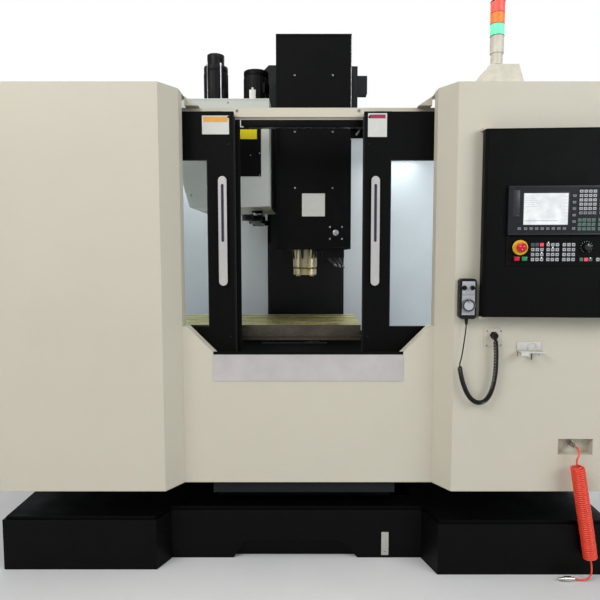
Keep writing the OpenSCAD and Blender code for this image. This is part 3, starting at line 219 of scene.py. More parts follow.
# the finish of each slot, by the slot's name: Blender adds a number, as the CAD's own have the same names
MATS = {m.name.split(".")[0]: m for m in (
    paint("casting", (30, 33, 34), 0.55, 0.1, 0.5, 0.2, spec=0.2),
    metal("steel", (150, 152, 155), 0.38, (6, 6, 1)),
    # the table: its yellow top colour is a painted sheen of the work lamp, its darker sides partly painted
    # shade
    ground_top_with_painted_sheen("ground_steel", (252, 242, 160), (120, 113, 102)),
    metal("screw_steel", (190, 192, 195), 0.2, (3, 3, 3), 500.0),
    # the spindle steel's warm tint is a painted reflection of the yellow work lamp
    metal("spindle_steel", (190, 178, 146), 0.3, (1, 1, 60), 40.0, 0.2),
    paint("motor_black", (11, 11, 12), 0.5, 0.1, 0.5, 0.2, spec=0.22),
    paint("black_paint", (8, 9, 8), 0.55, 0.08, 0.4, 0.2, spec=0.12),
    plastic("nozzle_black", (14, 14, 15), 0.5, spec=0.3),
    paint("cover_black", (16, 17, 18), 0.42, 0.12, 0.25, 0.25, spec=0.3),
    metal("cover_steel", (120, 122, 124), 0.34, (30, 1, 1), 90.0, 0.2),
    paint("pan_steel", (30, 32, 33), 0.5, 0.1, 0.4, 0.25, spec=0.3),
    paint("inner_paint", (210, 216, 220), 0.4, 0.08, 0.2, 0.05),
    paint("cream_paint", (200, 194, 177), 0.5, 0.06, 0.45, 0.025),
    metal("stainless", (208, 201, 200), 0.36, (1, 60, 60), 30.0, 0.1, 0.15, 0.5),
    glass("window_glass", (243, 248, 249)),
    paint("light_paint", (196, 199, 192), 0.4, 0.06, 0.3),
    paint("panel_black", (8, 8, 9), 0.55, 0.06, 0.6, 0.15, spec=0.12),
    plastic("unit_grey", (27, 28, 31), 0.45, spec=0.3),
    glow("screen_glass", (225, 235, 250), 1.0, (20, 22, 28)),
    plastic("key_plastic", (150, 153, 155), 0.45),
    plastic("button_red", (196, 26, 40), 0.3, 900.0, 0.08),
    plastic("button_green", (30, 140, 84), 0.3, 900.0, 0.08),
    plastic("knob_black", (15, 15, 16), 0.42, 300.0, 0.3, spec=0.3),
    plastic("pendant_plastic", (15, 16, 17), 0.45, 600.0, 0.3, spec=0.3),
    plastic("dial_grey", (176, 177, 182), 0.38),
    metal("socket_metal", (200, 198, 192), 0.22, (4, 4, 4), 300.0, 0.1),
    plastic("cord_black", (13, 13, 14), 0.4, 300.0, 0.15, spec=0.35),
    plastic("hose_orange", (232, 72, 50), 0.25, 200.0, 0.06, 0.05, 0.6),
    plastic("tower_body", (205, 200, 184), 0.4, 500.0, 0.12),
    paint("tank_black", (6, 8, 6), 0.5, 0.1, 0.35, 0.2, 0.003, 0.12),
)}
SILVER = metal("silver", (186, 184, 190), 0.3, (1, 1, 40), 70.0, 0.06)
BOLT = metal("bolt", (170, 172, 176), 0.25, (3, 3, 3), 400.0)
BOLT_BLACK = metal("bolt_black", (50, 50, 52), 0.35, (3, 3, 3), 400.0)
HANDLE = metal("handle", (208, 204, 202), 0.36, (1, 1, 40), 70.0, 0.05, metallic=0.55)
RUBBER = plastic("rubber", (18, 18, 18), 0.7, 500.0, 0.3)
YELLOW = plastic("yellow", (222, 176, 40), 0.4)
WHITE_FIELD = plastic("white_field", (206, 205, 200), 0.35, 900.0, 0.05, 0.02)
ORANGE_FIELD = plastic("orange_field", (216, 160, 84), 0.35, 900.0, 0.05, 0.03)
RED_FIELD = plastic("red_field", (160, 42, 78), 0.35, 900.0, 0.05, 0.03)
BRIGHT = (SILVER, "socket_metal")
YELLOW_FIELD = plastic("yellow_field", (222, 205, 20), 0.35, 900.0, 0.05, 0.03)

for subpart in frame["record"]["subparts"]:
    cad_object = nodes[subpart["node"]]
    if not cad_object.material_slots:
        cad_object.data.materials.append(MATS[subpart["material_slot"]])
    for cad_slot in cad_object.material_slots:
        cad_slot.material = MATS[subpart["material_slot"]]

# two nodes differ from the other parts of their slot
# the cartridge takes the spindle's warm steel, whose tint is a painted reflection of the work lamp
nodes["spindle_cartridge"].material_slots[0].material = MATS["spindle_steel"]
nodes["tool_arm"].material_slots[0].material = metal("arm_black", (44, 44, 46), 0.4, (3, 3, 3), 300.0, 0.2)


# Places
def turner(axis):
    """A function that makes the turn by some degrees about an axis."""
    return lambda deg: Matrix.Rotation(math.radians(deg), 4, axis)


turn_x, turn_y, turn_z = turner("X"), turner("Y"), turner("Z")


def at(x, y, z):
    return Matrix.Translation((x, y, z))


def front(x, y, z):
    """Places a part so that its own z points at the operator."""
    return at(x, y, z) @ turn_x(90)


def rear(x, y, z):
    """Places a part so that its own z points away from the operator."""
    return at(x, y, z) @ turn_x(-90)


# Pieces, each made of parts: (matrix, shape) or (matrix, shape, finish index)
def into(bm, m, shape, mat=0):
    """Adds a shape to bm, moved by the matrix m."""
    part = bmesh.new()
    shape(part)
    bmesh.ops.transform(part, matrix=m, verts=part.verts)
    for face in part.faces:
        face.material_index = mat
    mesh = bpy.data.meshes.new("part")
    part.to_mesh(mesh)
    part.free()
    bm.from_mesh(mesh)
    bpy.data.meshes.remove(mesh)


def piece(name, parts, mat, slot=None, body="base", smooth=None):
    """Makes an object of parts, lets it ride on a body and smooths edges below an angle.

    mat is a finish, a list of them, or the name of a slot, whose finish the piece takes.
    """
    if isinstance(mat, str):
        mat, slot = MATS[mat], slot or mat
    bm = bmesh.new()
    for part in parts:
        into(bm, *part)
    bmesh.ops.recalc_face_normals(bm, faces=bm.faces)
    mesh = bpy.data.meshes.new(name)
    bm.to_mesh(mesh)
    bm.free()
    for m in mat if isinstance(mat, list) else [mat]:
        mesh.materials.append(m)
    o = new_object(name, mesh)
    if smooth is not None:
        for p in mesh.polygons:
            p.use_smooth = True
        mesh.set_sharp_from_angle(angle=math.radians(smooth))
    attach(o, body)


def slab(w, d, h, bevel=0.0, seg=2):
    """A box centred in x and y, standing on z = 0, its edges rounded."""
    def make(bm):
        stand = at(0, 0, h / 2) @ Matrix.Diagonal((w, d, h, 1))
        r = bmesh.ops.create_cube(bm, size=1.0, matrix=stand)
        if bevel:
            bm.verts.ensure_lookup_table()
            edges = list({e for v in r["verts"] for e in v.link_edges})
            bmesh.ops.bevel(bm, geom=edges, offset=bevel, segments=seg, affect="EDGES", profile=0.5)
    return make


def lathe(profile, steps=32):
    """A profile of (radius, z) turned about Z, closed or open."""
    def make(bm):
        rings = []
        for r, z in profile:
            angles = [2 * math.pi * k / steps for k in range(steps if r > 1e-6 else 1)]
            rings.append([bm.verts.new((r * math.cos(a), r * math.sin(a), z)) for a in angles])
        for a, b in zip(rings, rings[1:]):
            for k in range(steps):
                q = [a[k % len(a)], a[(k + 1) % len(a)], b[(k + 1) % len(b)], b[k % len(b)]]
                q = [v for i, v in enumerate(q) if v not in q[:i]]
                if len(q) > 2:
                    bm.faces.new(q)
    return make


def hex_bolt(r, h):
    """A socket head: a rounded cap with a hexagonal recess."""
    sides = 12
    rims = [(r, r, 0), (r, r, h * 0.75), (r * 0.93, r * 0.93, h * 0.95), (r * 0.8, r * 0.8, h)]
    recess = [(r * 0.5, r * 0.46, h), (r * 0.5, r * 0.46, h * 0.4)]

    def make(bm):
        rings = []
        for corner, flat, z in rims + recess:
            rings.append([])
            for k in range(sides):
                a = math.pi * k / 6
                q = flat if k % 2 else corner
                rings[-1].append(bm.verts.new((q * math.cos(a), q * math.sin(a), z)))
        for a, b in zip(rings, rings[1:]):
            for k in range(sides):
                bm.faces.new([a[k], a[(k + 1) % sides], b[(k + 1) % sides], b[k]])
        bm.faces.new(rings[-1])
    return make


def capsule_outline(w, l, n=14):
    """Points of a round-ended bar in x and y, from the lower left round."""
    r = w / 2
    low = [math.pi + math.pi * i / n for i in range(n + 1)]
    high = [math.pi * i / n for i in range(n + 1)]
    return ([(r * math.cos(a), -l / 2 + r + r * math.sin(a)) for a in low]
            + [(r * math.cos(a), l / 2 - r + r * math.sin(a)) for a in high])


def squared(w, h, power=0.28):
    """Points of a rectangle with rounded corners, from the right; an ellipse at a power of 1."""
    out = []
    for i in range(40):
        c, s = math.cos(2 * math.pi * i / 40), math.sin(2 * math.pi * i / 40)
        out.append((w / 2 * math.copysign(abs(c) ** power, c), h / 2 * math.copysign(abs(s) ** power, s)))
    return out


def frame_plate(outer, inner, z0, z1, edge=0.0008):
    """A flat ring between two outlines of the same point count, with softened rims."""
    def ring(bm, pts, z, inset=0.0, other=None):
        out = []
        for p, q in zip(pts, other or pts):
            d = Vector((q[0] - p[0], q[1] - p[1]))
            d = d.normalized() * inset if d.length > 1e-9 else Vector((0, 0))
            out.append(bm.verts.new((p[0] + d.x, p[1] + d.y, z)))
        return out

    def make(bm):
        rings = [ring(bm, outer, z0), ring(bm, outer, z1 - edge), ring(bm, outer, z1, edge, inner),
                 ring(bm, inner, z1, edge, outer), ring(bm, inner, z1 - edge), ring(bm, inner, z0)]
        count = len(outer)
        for a, b in zip(rings, rings[1:] + rings[:1]):
            for k in range(count):
                bm.faces.new([a[k], a[(k + 1) % count], b[(k + 1) % count], b[k]])
    return make


def field(m, w, h, lift=0, finish=0, t=0.0006):
    """A part that is a thin flat field."""
    return m @ at(0, 0, lift), slab(w, h, t, min(t * 0.4, 0.0004), 1), finish


def screws(name, places, r, h, mat=BOLT, slot="socket_metal", body="base", smooth=None):
    """Socket heads at the places, each turned a little further than the last."""
    piece(name, [(m @ turn_z(17 * i), hex_bolt(r, h)) for i, m in enumerate(places)], mat, slot, body, smooth)


def marks(place, x, z, r, angles, w, lengths):
    """Scale marks round (x, z) of a face, at angles clockwise from the top."""
    made = []
    for a, length in zip(angles, lengths):
        m = place(x + r * math.sin(a), z + r * math.cos(a)) @ turn_z(-math.degrees(a))
        made.append((m, slab(w, length, 0.0003)))
    return made


# Cords
def spline(points, k):
    """The same smooth line as the part's, through points given in millimetres, in metres."""
    p = [Vector(q) / 1000 for q in points]
    out = []
    for i in range(len(p) - 1):
        a, b, c, d = p[max(i - 1, 0)], p[i], p[i + 1], p[min(i + 2, len(p) - 1)]
        for j in range(k):
            t = j / k
            slope = 2 * b + (c - a) * t + (2 * a - 5 * b + 4 * c - d) * t * t
            out.append(0.5 * (slope + (3 * b - a - 3 * c + d) * t ** 3))
    return out + [p[-1]]


def even(path, step):
    """The line again with points at even distances."""
    out = [path[0]]
    left = step
    for a, b in zip(path, path[1:]):
        length = (b - a).length
        done = 0.0
        while length - done >= left:
            done += left
            out.append(a + (b - a) * (done / length))
            left = step
        left -= length - done
    return out


def helix(path, radius, turns, per_turn, phase, jitter):
    """A line that winds round path, its radius growing over the first and last turn."""
    line = even(path, 0.0015)
    m = len(line)
    tangent = [(line[min(i + 1, m - 1)] - line[max(i - 1, 0)]).normalized() for i in range(m)]
    u = tangent[0].orthogonal().normalized()
    ups = []
    for t in tangent:
        u = (u - t * u.dot(t)).normalized()
        ups.append(u.copy())
    count = int(turns * per_turn)
    wobble = [random.uniform(-1, 1) for _ in range(int(turns) + 3)]
    out = []
    for i in range(count + 1):
        f = i / count
        s = f * (m - 1)
        k = min(int(s), m - 2)
        centre = line[k].lerp(line[k + 1], s - k)
        t, n = tangent[k], ups[k]
        turn = f * turns
        r = radius * min(1.0, turn / 0.8, (turns - turn) / 0.8)
        w = wobble[int(turn)] + (wobble[int(turn) + 1] - wobble[int(turn)]) * (turn % 1)
        a = 2 * math.pi * turn + phase
        spoke = n * math.cos(a) + t.cross(n) * math.sin(a)
        out.append(centre + spoke * (r * (1 - jitter * abs(w))) + t * (jitter * 0.12 * radius * w))
    return out


def wire(name, points, d, mat):
    """A round line of the diameter d that rides on the base."""
    curve = bpy.data.curves.new(name, "CURVE")
    curve.dimensions = "3D"
    curve.bevel_depth = d / 2
    curve.bevel_resolution = 2
    curve.use_fill_caps = True
    s = curve.splines.new("POLY")
    s.points.add(len(points) - 1)
    for q, p in zip(s.points, points):
        q.co = (p.x, p.y, p.z, 1.0)
    s.use_smooth = True
    curve.materials.append(mat)
    o = new_object(name, curve)
    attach(o, "base")
    return o


# the routes of part.scad, in millimetres
CORD = [[674, -1026, 1104], [672, -1026, 1078], [668, -1027, 1046], [662, -1028, 1001],
        [656, -1029, 964], [650, -1030, 942], [648, -1031, 926]]
COIL = [[648, -1031, 926], [652, -1031, 898], [659, -1031, 868], [668, -1031, 840],
        [680, -1031, 812], [697, -1031, 786], [717, -1031, 771], [738, -1031, 766], [758, -1031, 773],
        [775, -1031, 793], [788, -1031, 823], [797, -1031, 862], [802, -1031, 905], [803, -1031, 950],
        [802, -1031, 995], [798, -1031, 1040]]
LEAD = [[1163, -1022, 567], [1163, -1040, 566], [1164, -1052, 556], [1158, -1060, 540],
        [1150, -1062, 522], [1152, -1062, 500]]
HOSE = [[1152, -1062, 500], [1168, -1067, 400], [1184, -1071, 300], [1201, -1074, 200],
        [1219, -1075, 90]]
TAIL = [[1219, -1075, 90], [1223, -1079, 60], [1220, -1084, 28], [1204, -1089, 10],
        [1183, -1091, 6], [1166, -1091, 8], [1154, -1090, 11], [1146, -1090, 11]]

cord_line = even(spline(CORD, 8), 0.006) + helix(spline(COIL, 8), 0.0082, 76, 16, 0.0, 0.04)
pendant_cord = wire("pendant_cord_wire", cord_line, 0.0054, MATS["cord_black"])
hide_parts("pendant_cord", "pendant_coil")

hose_line = (even(spline(LEAD, 8), 0.008) + helix(spline(HOSE, 4), 0.0268, 49, 28, 1.2, 0.05)
             + even(spline(TAIL, 8), 0.008))
air_hose = wire("air_hose_tube", hose_line, 0.0078, MATS["hose_orange"])
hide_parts("hose_ends", "hose_coil")


# Doors: sides are (name, leading edge, direction away from the other door)
DOOR_FACE = -0.810
HANDLE_FACE = -0.822
HANDLE_CENTRE_Z = 1.507
HANDLE_SLOT_Z = 1.590
BEAD_Y = -0.8085
WINDOW_ZS = (1.067, 1.826)
DOOR_SIDES = (("left", -0.338, -1), ("right", 0.254, 1))

# door handles: silver frames round the slot, with a strip in it
for side, x in (("left", -0.390), ("right", 0.306)):
    body = side + "_door_body"
    slot_edge = [(px, py + 0.0833) for px, py in capsule_outline(0.0086, 0.256)]
    rim = frame_plate(capsule_outline(0.0394, 0.498), slot_edge, -0.0118, 0.0022, 0.0016)
    rivet = lathe([(0, 0.0008), (0.0034, 0.0009), (0.0042, 0.0002), (0.0042, -0.001)], 20)
    piece(side + "_handle_frame",
          [(front(x, HANDLE_FACE, HANDLE_CENTRE_Z), rim)]
          + [(front(x, HANDLE_FACE - 0.0022, z), rivet) for z in (1.285, 1.738)],
          HANDLE, body=body, smooth=40)
    lip = frame_plate(capsule_outline(0.013, 0.262), capsule_outline(0.006, 0.255), 0, 0.0006, 0.0002)
    piece(side + "_handle_strip",
          [(front(x, HANDLE_FACE - 0.0023, HANDLE_SLOT_Z), lip),
           (front(x, HANDLE_FACE + 0.0075, HANDLE_SLOT_Z), slab(0.0072, 0.25, 0.0012, 0.0004, 1))],
          plastic(side + "_strip", (80, 79, 100), 0.35), body=body)

# door seals and dark edges at the leading edges, glazing beads round the windows, screws
for side, lead, away in DOOR_SIDES:
    body = side + "_door_body"
    piece(side + "_door_seal", [(at(lead - away * 0.0022, -0.795, 0.925), slab(0.004, 0.022, 1.1, 0.0015))],
          RUBBER, "black_paint", body, 30)
    piece(side + "_door_edge",
          [(at(lead + away * 0.0016, -0.8104, 0.93), slab(0.0022, 0.0012, 1.1, 0.0004, 1))],
          BOLT_BLACK, "black_paint", body, 30)
    x0, x1 = sorted((lead + away * 0.12, lead + away * 0.54))
    upright = slab(0.004, 0.003, 0.763, 0.001)
    level = slab(x1 - x0 - 0.008, 0.003, 0.004, 0.001)
    piece(side + "_window_bead",
          [(at(x, BEAD_Y, WINDOW_ZS[0]), upright) for x in (x0 + 0.002, x1 - 0.002)]
          + [(at((x0 + x1) / 2, BEAD_Y, z), level) for z in WINDOW_ZS],
          RUBBER, "black_paint", body, 30)
    places = [front(lead + away * x, -0.8102, z) for x in (0.022, 0.57) for z in (0.93, 1.02, 1.9, 2.02)]
    screws(side + "_door_screws", places, 0.0048, 0.0026, BOLT_BLACK, "black_paint", body)

# Plain colour fields where the picture has labels, and the magazine's dark plate under one
MAGAZINE_FACE = -0.540
PLATE_FACE = MAGAZINE_FACE - 0.002
HEAD_FACE = -0.450
piece("left_door_field",
      [field(front(-0.419, DOOR_FACE, 1.985), 0.122, 0.083),
       field(front(-0.419, DOOR_FACE, 2.01), 0.11, 0.024, 0.0005, 1)],
      [WHITE_FIELD, ORANGE_FIELD], body="left_door_body")
piece("right_door_field",
      [field(front(0.313, DOOR_FACE, 1.9845), 0.086, 0.105),
       field(front(0.313, DOOR_FACE, 2.0225), 0.072, 0.017, 0.0005, 1)],
      [WHITE_FIELD, RED_FIELD], body="right_door_body")
piece("magazine_plate", [(front(-0.294, MAGAZINE_FACE, 1.9135), slab(0.114, 0.241, 0.002, 0.0006))],
      "black_paint")
piece("magazine_field", [field(front(-0.303, PLATE_FACE, 2), 0.092, 0.047)], YELLOW_FIELD)
screws("magazine_plate_screws",
       [front(x, PLATE_FACE, z) for x, z in ((-0.344, 1.8), (-0.244, 1.8), (-0.244, 1.907), (-0.29, 1.897))],
       0.0035, 0.002)
piece("head_field", [field(front(0.026, HEAD_FACE, 1.659), 0.119, 0.118)], WHITE_FIELD, body="head_body")

# Head cover: screws, a pull knob, folded seams and, along its right edge, a silver strip that is a painted
# highlight
places = [front(x, HEAD_FACE, z) for x in (-0.07, 0.125) for z in (2.3146, 2.0317, 1.746)]
places += [front(x, HEAD_FACE, z) for x in (0.112, 0.175) for z in (1.545, 1.483)]
screws("head_cover_screws", places, 0.0052, 0.003, body="head_body")
knob = lathe([(0, 0.006), (0.01, 0.0058), (0.0145, 0.004), (0.0155, 0.001), (0.0155, 0)], 36)
piece("head_cover_knob", [(front(0.142, HEAD_FACE, 1.515), knob)], *BRIGHT, "head_body", 40)
piece("head_cover_seams",
      [(at(-0.152, HEAD_FACE - 0.0008, 1.432), slab(0.0015, 0.0016, 1.085, 0.0004, 1))]
      + [(at(0.0275, HEAD_FACE - 0.0008, z), slab(0.384, 0.0016, 0.01, 0.0006)) for z in (1.4302, 2.509)],
      "black_paint", body="head_body", smooth=30)
# a silver strip standing in for the highlight along the cover's right edge: a painted highlight
piece("head_cover_edge_highlight", [(at(0.219, HEAD_FACE - 0.0006, 1.99), slab(0.003, 0.0012, 0.528, 0.0004, 1))],
      *BRIGHT, "head_body")

# Door beam: end screws and the work lamp with its lens
BEAM_FACE = -0.755
screws("beam_screws", [front(x, BEAM_FACE, 2.0615) for x in (-0.329, 0.234)], 0.0075, 0.0028)
piece("work_lamp_lens",
      [(front(0, -0.7549, 2.006), slab(0.62, 0.029, 0.0012, 0.0005)),
       (at(0, -0.73, 1.99), slab(0.598, 0.05, 0.0018, 0.0006)),
       (at(0, -0.73, 1.9888), slab(0.56, 0.026, 0.0024, 0.0008), 1)],
      [MATS["black_paint"], plastic("lamp_lens", (66, 70, 74), 0.25)], "black_paint", smooth=30)

# Tower light: ribbed lenses, dark rings and a cap
TOWER = (0.830, -0.850)
lenses = []
for i in range(3):
    z0 = 2.3575 + 0.048 * i
    profile = [(0.026, z0)]
    for k in range(9):
        z = z0 + 0.001 + 0.0051 * k
        profile += [(0.0303, z), (0.0311, z + 0.0017), (0.0311, z + 0.0034), (0.0303, z + 0.0048)]
    lenses.append((at(*TOWER, 0), lathe(profile + [(0.026, z0 + 0.0466)], 40), i))
piece("tower_lenses", lenses,
      [glow("lens_green", (140, 250, 200), 0.9, (40, 160, 100)),
       glow("lens_amber", (240, 140, 76), 0.45, (200, 110, 50)),
       glow("lens_red", (250, 112, 96), 0.9, (190, 30, 30))], smooth=50)
ring = lathe([(0.02, 0), (0.0308, 0), (0.0312, 0.0007), (0.0308, 0.0014), (0.02, 0.0014)], 40)
dome = lathe([(0.0318, 0), (0.0318, 0.004), (0.03, 0.007), (0.024, 0.009), (0, 0.0098)], 40)
piece("tower_rings", [(at(*TOWER, z), ring) for z in (2.3555, 2.4035, 2.4515)] + [(at(*TOWER, 2.4985), dome)],
      "unit_grey", "knob_black", smooth=40)

# Operator panel's box, turned a little; the controller's lower left corner is at UX, UZ on its face
BOX = at(0.745, -1.024, 0) @ turn_z(-3.5)
FACE = -0.038
UX, UZ = 0.079, 1.481


def on_face(x, z, out=0.0):
    """A place on the box's face, x and z from the box, looking at the operator."""
    return BOX @ at(x, FACE - out, z) @ turn_x(90)


def on_unit(x, z, out):
    """A place on the box's face, x and z from the controller's corner."""
    return on_face(UX + x, UZ + z, out)


# emergency stop: a yellow ring and three marks on the button
ESTOP = (0.054, -0.051)
ring = [(0.0135, 0), (0.0135, 0.0052), (0.015, 0.0064), (0.0295, 0.0064), (0.031, 0.0052), (0.031, 0)]
piece("estop_ring", [(on_unit(*ESTOP, 0.003), lathe(ring, 48))], YELLOW, body="box_body", smooth=35)
piece("estop_marks",
      [(on_unit(*ESTOP, 0.0357) @ turn_z(a) @ at(0.009, 0, 0), slab(0.006, 0.0018, 0.0006, 0.0002, 1))
       for a in (30, 150, 270)], WHITE_FIELD, body="estop_body")

# start and stop: bezels on the box and caps on the buttons
BUTTON_Z = -0.097
BUTTONS = (("start", 0.0705, "button_green"), ("stop", 0.0395, "button_red"))
bezel = frame_plate(squared(0.026, 0.0215), squared(0.0166, 0.0166, 1), 0, 0.0026)
piece("button_bezels", [(on_unit(x, BUTTON_Z, 0.003), bezel) for _, x, _ in BUTTONS],
      "unit_grey", body="box_body", smooth=35)
for name, x, slot in BUTTONS:
    piece(name + "_cap", [(on_unit(x, BUTTON_Z, 0.0128), slab(0.0215, 0.0165, 0.0026, 0.0011, 3))],
          slot, body=name + "_body", smooth=40)

# key caps of the controller and the panel, the plain ones with a dark mark
LIGHT, MID, GREEN, RED, LAMP, DARK = range(6)
KEY = [plastic("key_light", (172, 174, 176)), plastic("key_mid", (120, 124, 128)),
       plastic("key_green", (80, 112, 96)), glow("key_red", (255, 70, 90), 1.2, (160, 20, 30)),
       glow("key_lamp", (255, 255, 255), 1.3), plastic("key_dark", (70, 72, 76))]
KEYPAD_OUT = 0.014
EDGE_KEY = (0.0122, 0.0092, 0.016, MID)
keys = []


def cap(x, z, w, h, out, finish):
    keys.append((on_unit(x, z, out), slab(w, h, 0.0014, 0.0005), finish))
    if finish <= GREEN:
        keys.append((on_unit(x, z, out + 0.0013), slab(w * 0.45, h * 0.34, 0.0003), DARK))


for c in range(4):
    for r in range(6):
        for x in (0.289, 0.37):
            cap(x + c * 0.0179, 0.089 + r * 0.0174, 0.0132, 0.0112, KEYPAD_OUT, LIGHT if r else MID)
    for r in range(3):
        for x in (0.286, 0.367):
            cap(x + c * 0.0184, 0.0245 + r * 0.018, 0.0132, 0.0122, KEYPAD_OUT, GREEN)
for c in range(8):
    cap(0.0705 + c * 0.0221, 0.026, *EDGE_KEY)
for x in (0.045, 0.262):
    cap(x, 0.026, *EDGE_KEY)
for r in range(5):
    cap(0.262, 0.054 + r * 0.026, *EDGE_KEY)
for group, x in enumerate((0.105, 0.167, 0.2315)):
    for c in range(3):
        for r in range(4):
            finish = (DARK, DARK, RED)[c] if group == 0 and r == 3 else LIGHT
            cap(x + c * 0.0183, -0.1 + r * 0.0202, 0.0127, 0.0127, 0.0055, finish)
for x, finish in ((0.302, GREEN), (0.3205, RED), (0.338, GREEN), (0.3675, LIGHT)):
    cap(x, -0.1, 0.0127, 0.0127, 0.0055, finish)
piece("key_caps", keys, KEY, "key_plastic", "box_body")
lamp = lathe([(0, 0.0016), (0.0014, 0.0012), (0.0018, 0)], 14)
piece("key_lamps",
      [(on_unit(0.1685, -0.0295, 0.003), lamp)]
      + [(on_unit(x, z, 0.0069), lamp)
         for x, z in ((0.1853, -0.0505), (0.141, -0.0717), (0.141, -0.0925), (0.3375, -0.094))],
      KEY[LAMP], body="box_body", smooth=60)

# controller: plain fields on the screen, bezel lips, media door and screws
SCREEN_OUT = 0.012
BEZEL_OUT = 0.013
SCREEN_OFF = (20, 22, 26)
lines = [(0.1503, 0.1058, 0.1765, 0.1265, 0, 0), (0.132, 0.058, 0.134, 0.0018, 0.0004, 1)]
lines += [(0.228, 0.155 - i * 0.013, 0.02, 0.0012, 0.0004, 2) for i in range(8)]
lines += [(0.088 + (i % 3) * 0.002, 0.158 - i * 0.0085, 0.03 + 0.011 * ((i * 5) % 4), 0.0016, 0.0004, 2)
          for i in range(6)]
piece("screen_fields",
      [field(on_unit(x, z, SCREEN_OUT), w, h, lift, k, 0.0004) for x, z, w, h, lift, k in lines],
      [glow("screen_white", (240, 244, 246), 1.0, SCREEN_OFF),
       glow("screen_bar", (160, 160, 205), 0.7, SCREEN_OFF),
       glow("screen_line", (205, 210, 218), 0.85, SCREEN_OFF)], "screen_glass", "box_body")
piece("unit_bezel",
      [(on_unit(x, 0.1058, BEZEL_OUT), slab(0.004, 0.139, 0.0016, 0.0006)) for x in (0.059, 0.2415)]
      + [(on_unit(0.1503, z, BEZEL_OUT), slab(0.186, 0.004, 0.0016, 0.0006)) for z in (0.0395, 0.172)]
      + [(on_unit(0.031, 0.128, BEZEL_OUT), slab(0.028, 0.108, 0.002, 0.001)),
         (on_unit(0.031, 0.078, 0.0152), slab(0.02, 0.006, 0.0012, 0.0005))]
      + [(on_unit(0.2255, z, BEZEL_OUT), slab(0.446, 0.003, 0.0012, 0.0005)) for z in (0.004, 0.196)],
      plastic("bezel", (40, 42, 46), 0.42), "unit_grey", "box_body", 30)
screws("unit_screws",
       [on_unit(x, z, 0.0124) for x in (0.006, 0.445) for z in (0.011, 0.189)]
       + [on_unit(x, z, 0.003) for x in (0.003, 0.445) for z in (-0.01, -0.12)],
       0.0032, 0.0018, BOLT_BLACK, "knob_black", "box_body")

# lips round the box's door
piece("box_lips",
      [(on_face(0.285, z), slab(0.58, 0.004, 0.0016, 0.0006)) for z in (1.143, 1.911)]
      + [(on_face(x, 1.527), slab(0.004, 0.766, 0.0016, 0.0006)) for x in (-0.002, 0.574)],
      "panel_black", body="box_body", smooth=30)

# override knob: grip ribs, a cap with its pointer, and the scale round it
OVERRIDE = (UX + 0.3215, UZ - 0.049)
piece("override_ribs",
      [(on_face(*OVERRIDE, 0.004) @ turn_z(k * 20 + 10) @ at(0.0158, 0, 0.0006),
        slab(0.0028, 0.0024, 0.013, 0.0007)) for k in range(18)],
      "knob_black", body="override_body", smooth=40)
piece("override_cap",
      [(on_face(*OVERRIDE, 0.0194), lathe([(0, 0.0007), (0.012, 0.0005), (0.0128, 0)], 36)),
       (on_face(OVERRIDE[0], UZ - 0.0395, 0.0199), slab(0.0018, 0.008, 0.0006, 0.0002, 1), 1)],
      [plastic("cap_grey", (30, 31, 33), 0.35), WHITE_FIELD], "knob_black", "override_body", 40)
piece("override_scale",
      marks(lambda x, z: on_face(x, z, 0.003), *OVERRIDE, 0.0225,
            [math.radians(150 - k * 25) for k in range(13)], 0.001, [0.004] * 13),
      WHITE_FIELD, body="box_body")

# Pendant: button plate, handwheel with its handle, selectors, scales and the boot's rings
PENDANT = at(0.674, -1.046, 1.130)
DIAL_Z = 0.058
SELECTOR_Z = 0.132


def on_pendant(x, z, out=0.0):
    return PENDANT @ at(x, -out, z) @ turn_x(90)


piece("pendant_plate", [(on_pendant(0.001, 0.088), slab(0.054, 0.142, 0.0002))],
      plastic("plate_grey", (168, 170, 174)), "pendant_plastic")
grip = lathe([(0.0262, 0), (0.0274, 0.001), (0.0274, 0.0118), (0.0262, 0.013), (0.02, 0.0133),
              (0.0185, 0.0126), (0, 0.0126)], 48)
rib = slab(0.0012, 0.0022, 0.0096, 0.0004, 1)
dial = on_pendant(0, DIAL_Z, 0.0003)
piece("dial_grip",
      [(dial, grip)] + [(dial @ turn_z(k * 10) @ at(0.0274, 0, 0.0016), rib) for k in range(36)],
      plastic("dial_black", (44, 45, 48), 0.34, 300.0, 0.2), "dial_grey", "dial_body", 40)
piece("dial_handle",
      [(on_pendant(0, DIAL_Z, 0.0129) @ at(0, 0.018, 0),
        lathe([(0.0046, 0), (0.0046, 0.006), (0.0038, 0.0078), (0, 0.0082)], 20))],
      *BRIGHT, "dial_body", 40)
for name, x in (("axis", -0.017), ("step", 0.017)):
    piece(name + "_knob_grip",
          [(on_pendant(x, SELECTOR_Z, 0.0113), slab(0.0046, 0.018, 0.0034, 0.0012)),
           (on_pendant(x, SELECTOR_Z, 0.0003),
            lathe([(0.0104, 0), (0.0104, 0.002), (0.0088, 0.0108), (0, 0.0113)], 28))],
          "knob_black", body=name + "_selector_body", smooth=40)
    piece(name + "_scale",
          marks(on_pendant, x, SELECTOR_Z, 0.0135, [math.radians(-75 + k * 25) for k in range(7)],
                0.0008, [0.003] * 7), WHITE_FIELD)
piece("pendant_scale",
      marks(on_pendant, 0, DIAL_Z, 0.0305, [2 * math.pi * k / 50 for k in range(50)],
            0.0006, [0.0016 if k % 5 else 0.0028 for k in range(50)])
      + [(on_pendant(0, 0.104), slab(0.052, 0.01, 0.0012, 0.0004, 1))],
      plastic("scale_grey", (150, 152, 156)), "pendant_plastic")
rings = []
for k in range(5):
    r = 0.0052 + k * 0.0004
    rings.append((at(0.674, -1.026, 1.104 + k * 0.0048),
                  lathe([(r, 0), (r + 0.001, 0.001), (r + 0.001, 0.0024), (r, 0.0034)], 20)))
piece("pendant_boot_rings", rings, RUBBER, "cord_black", smooth=40)

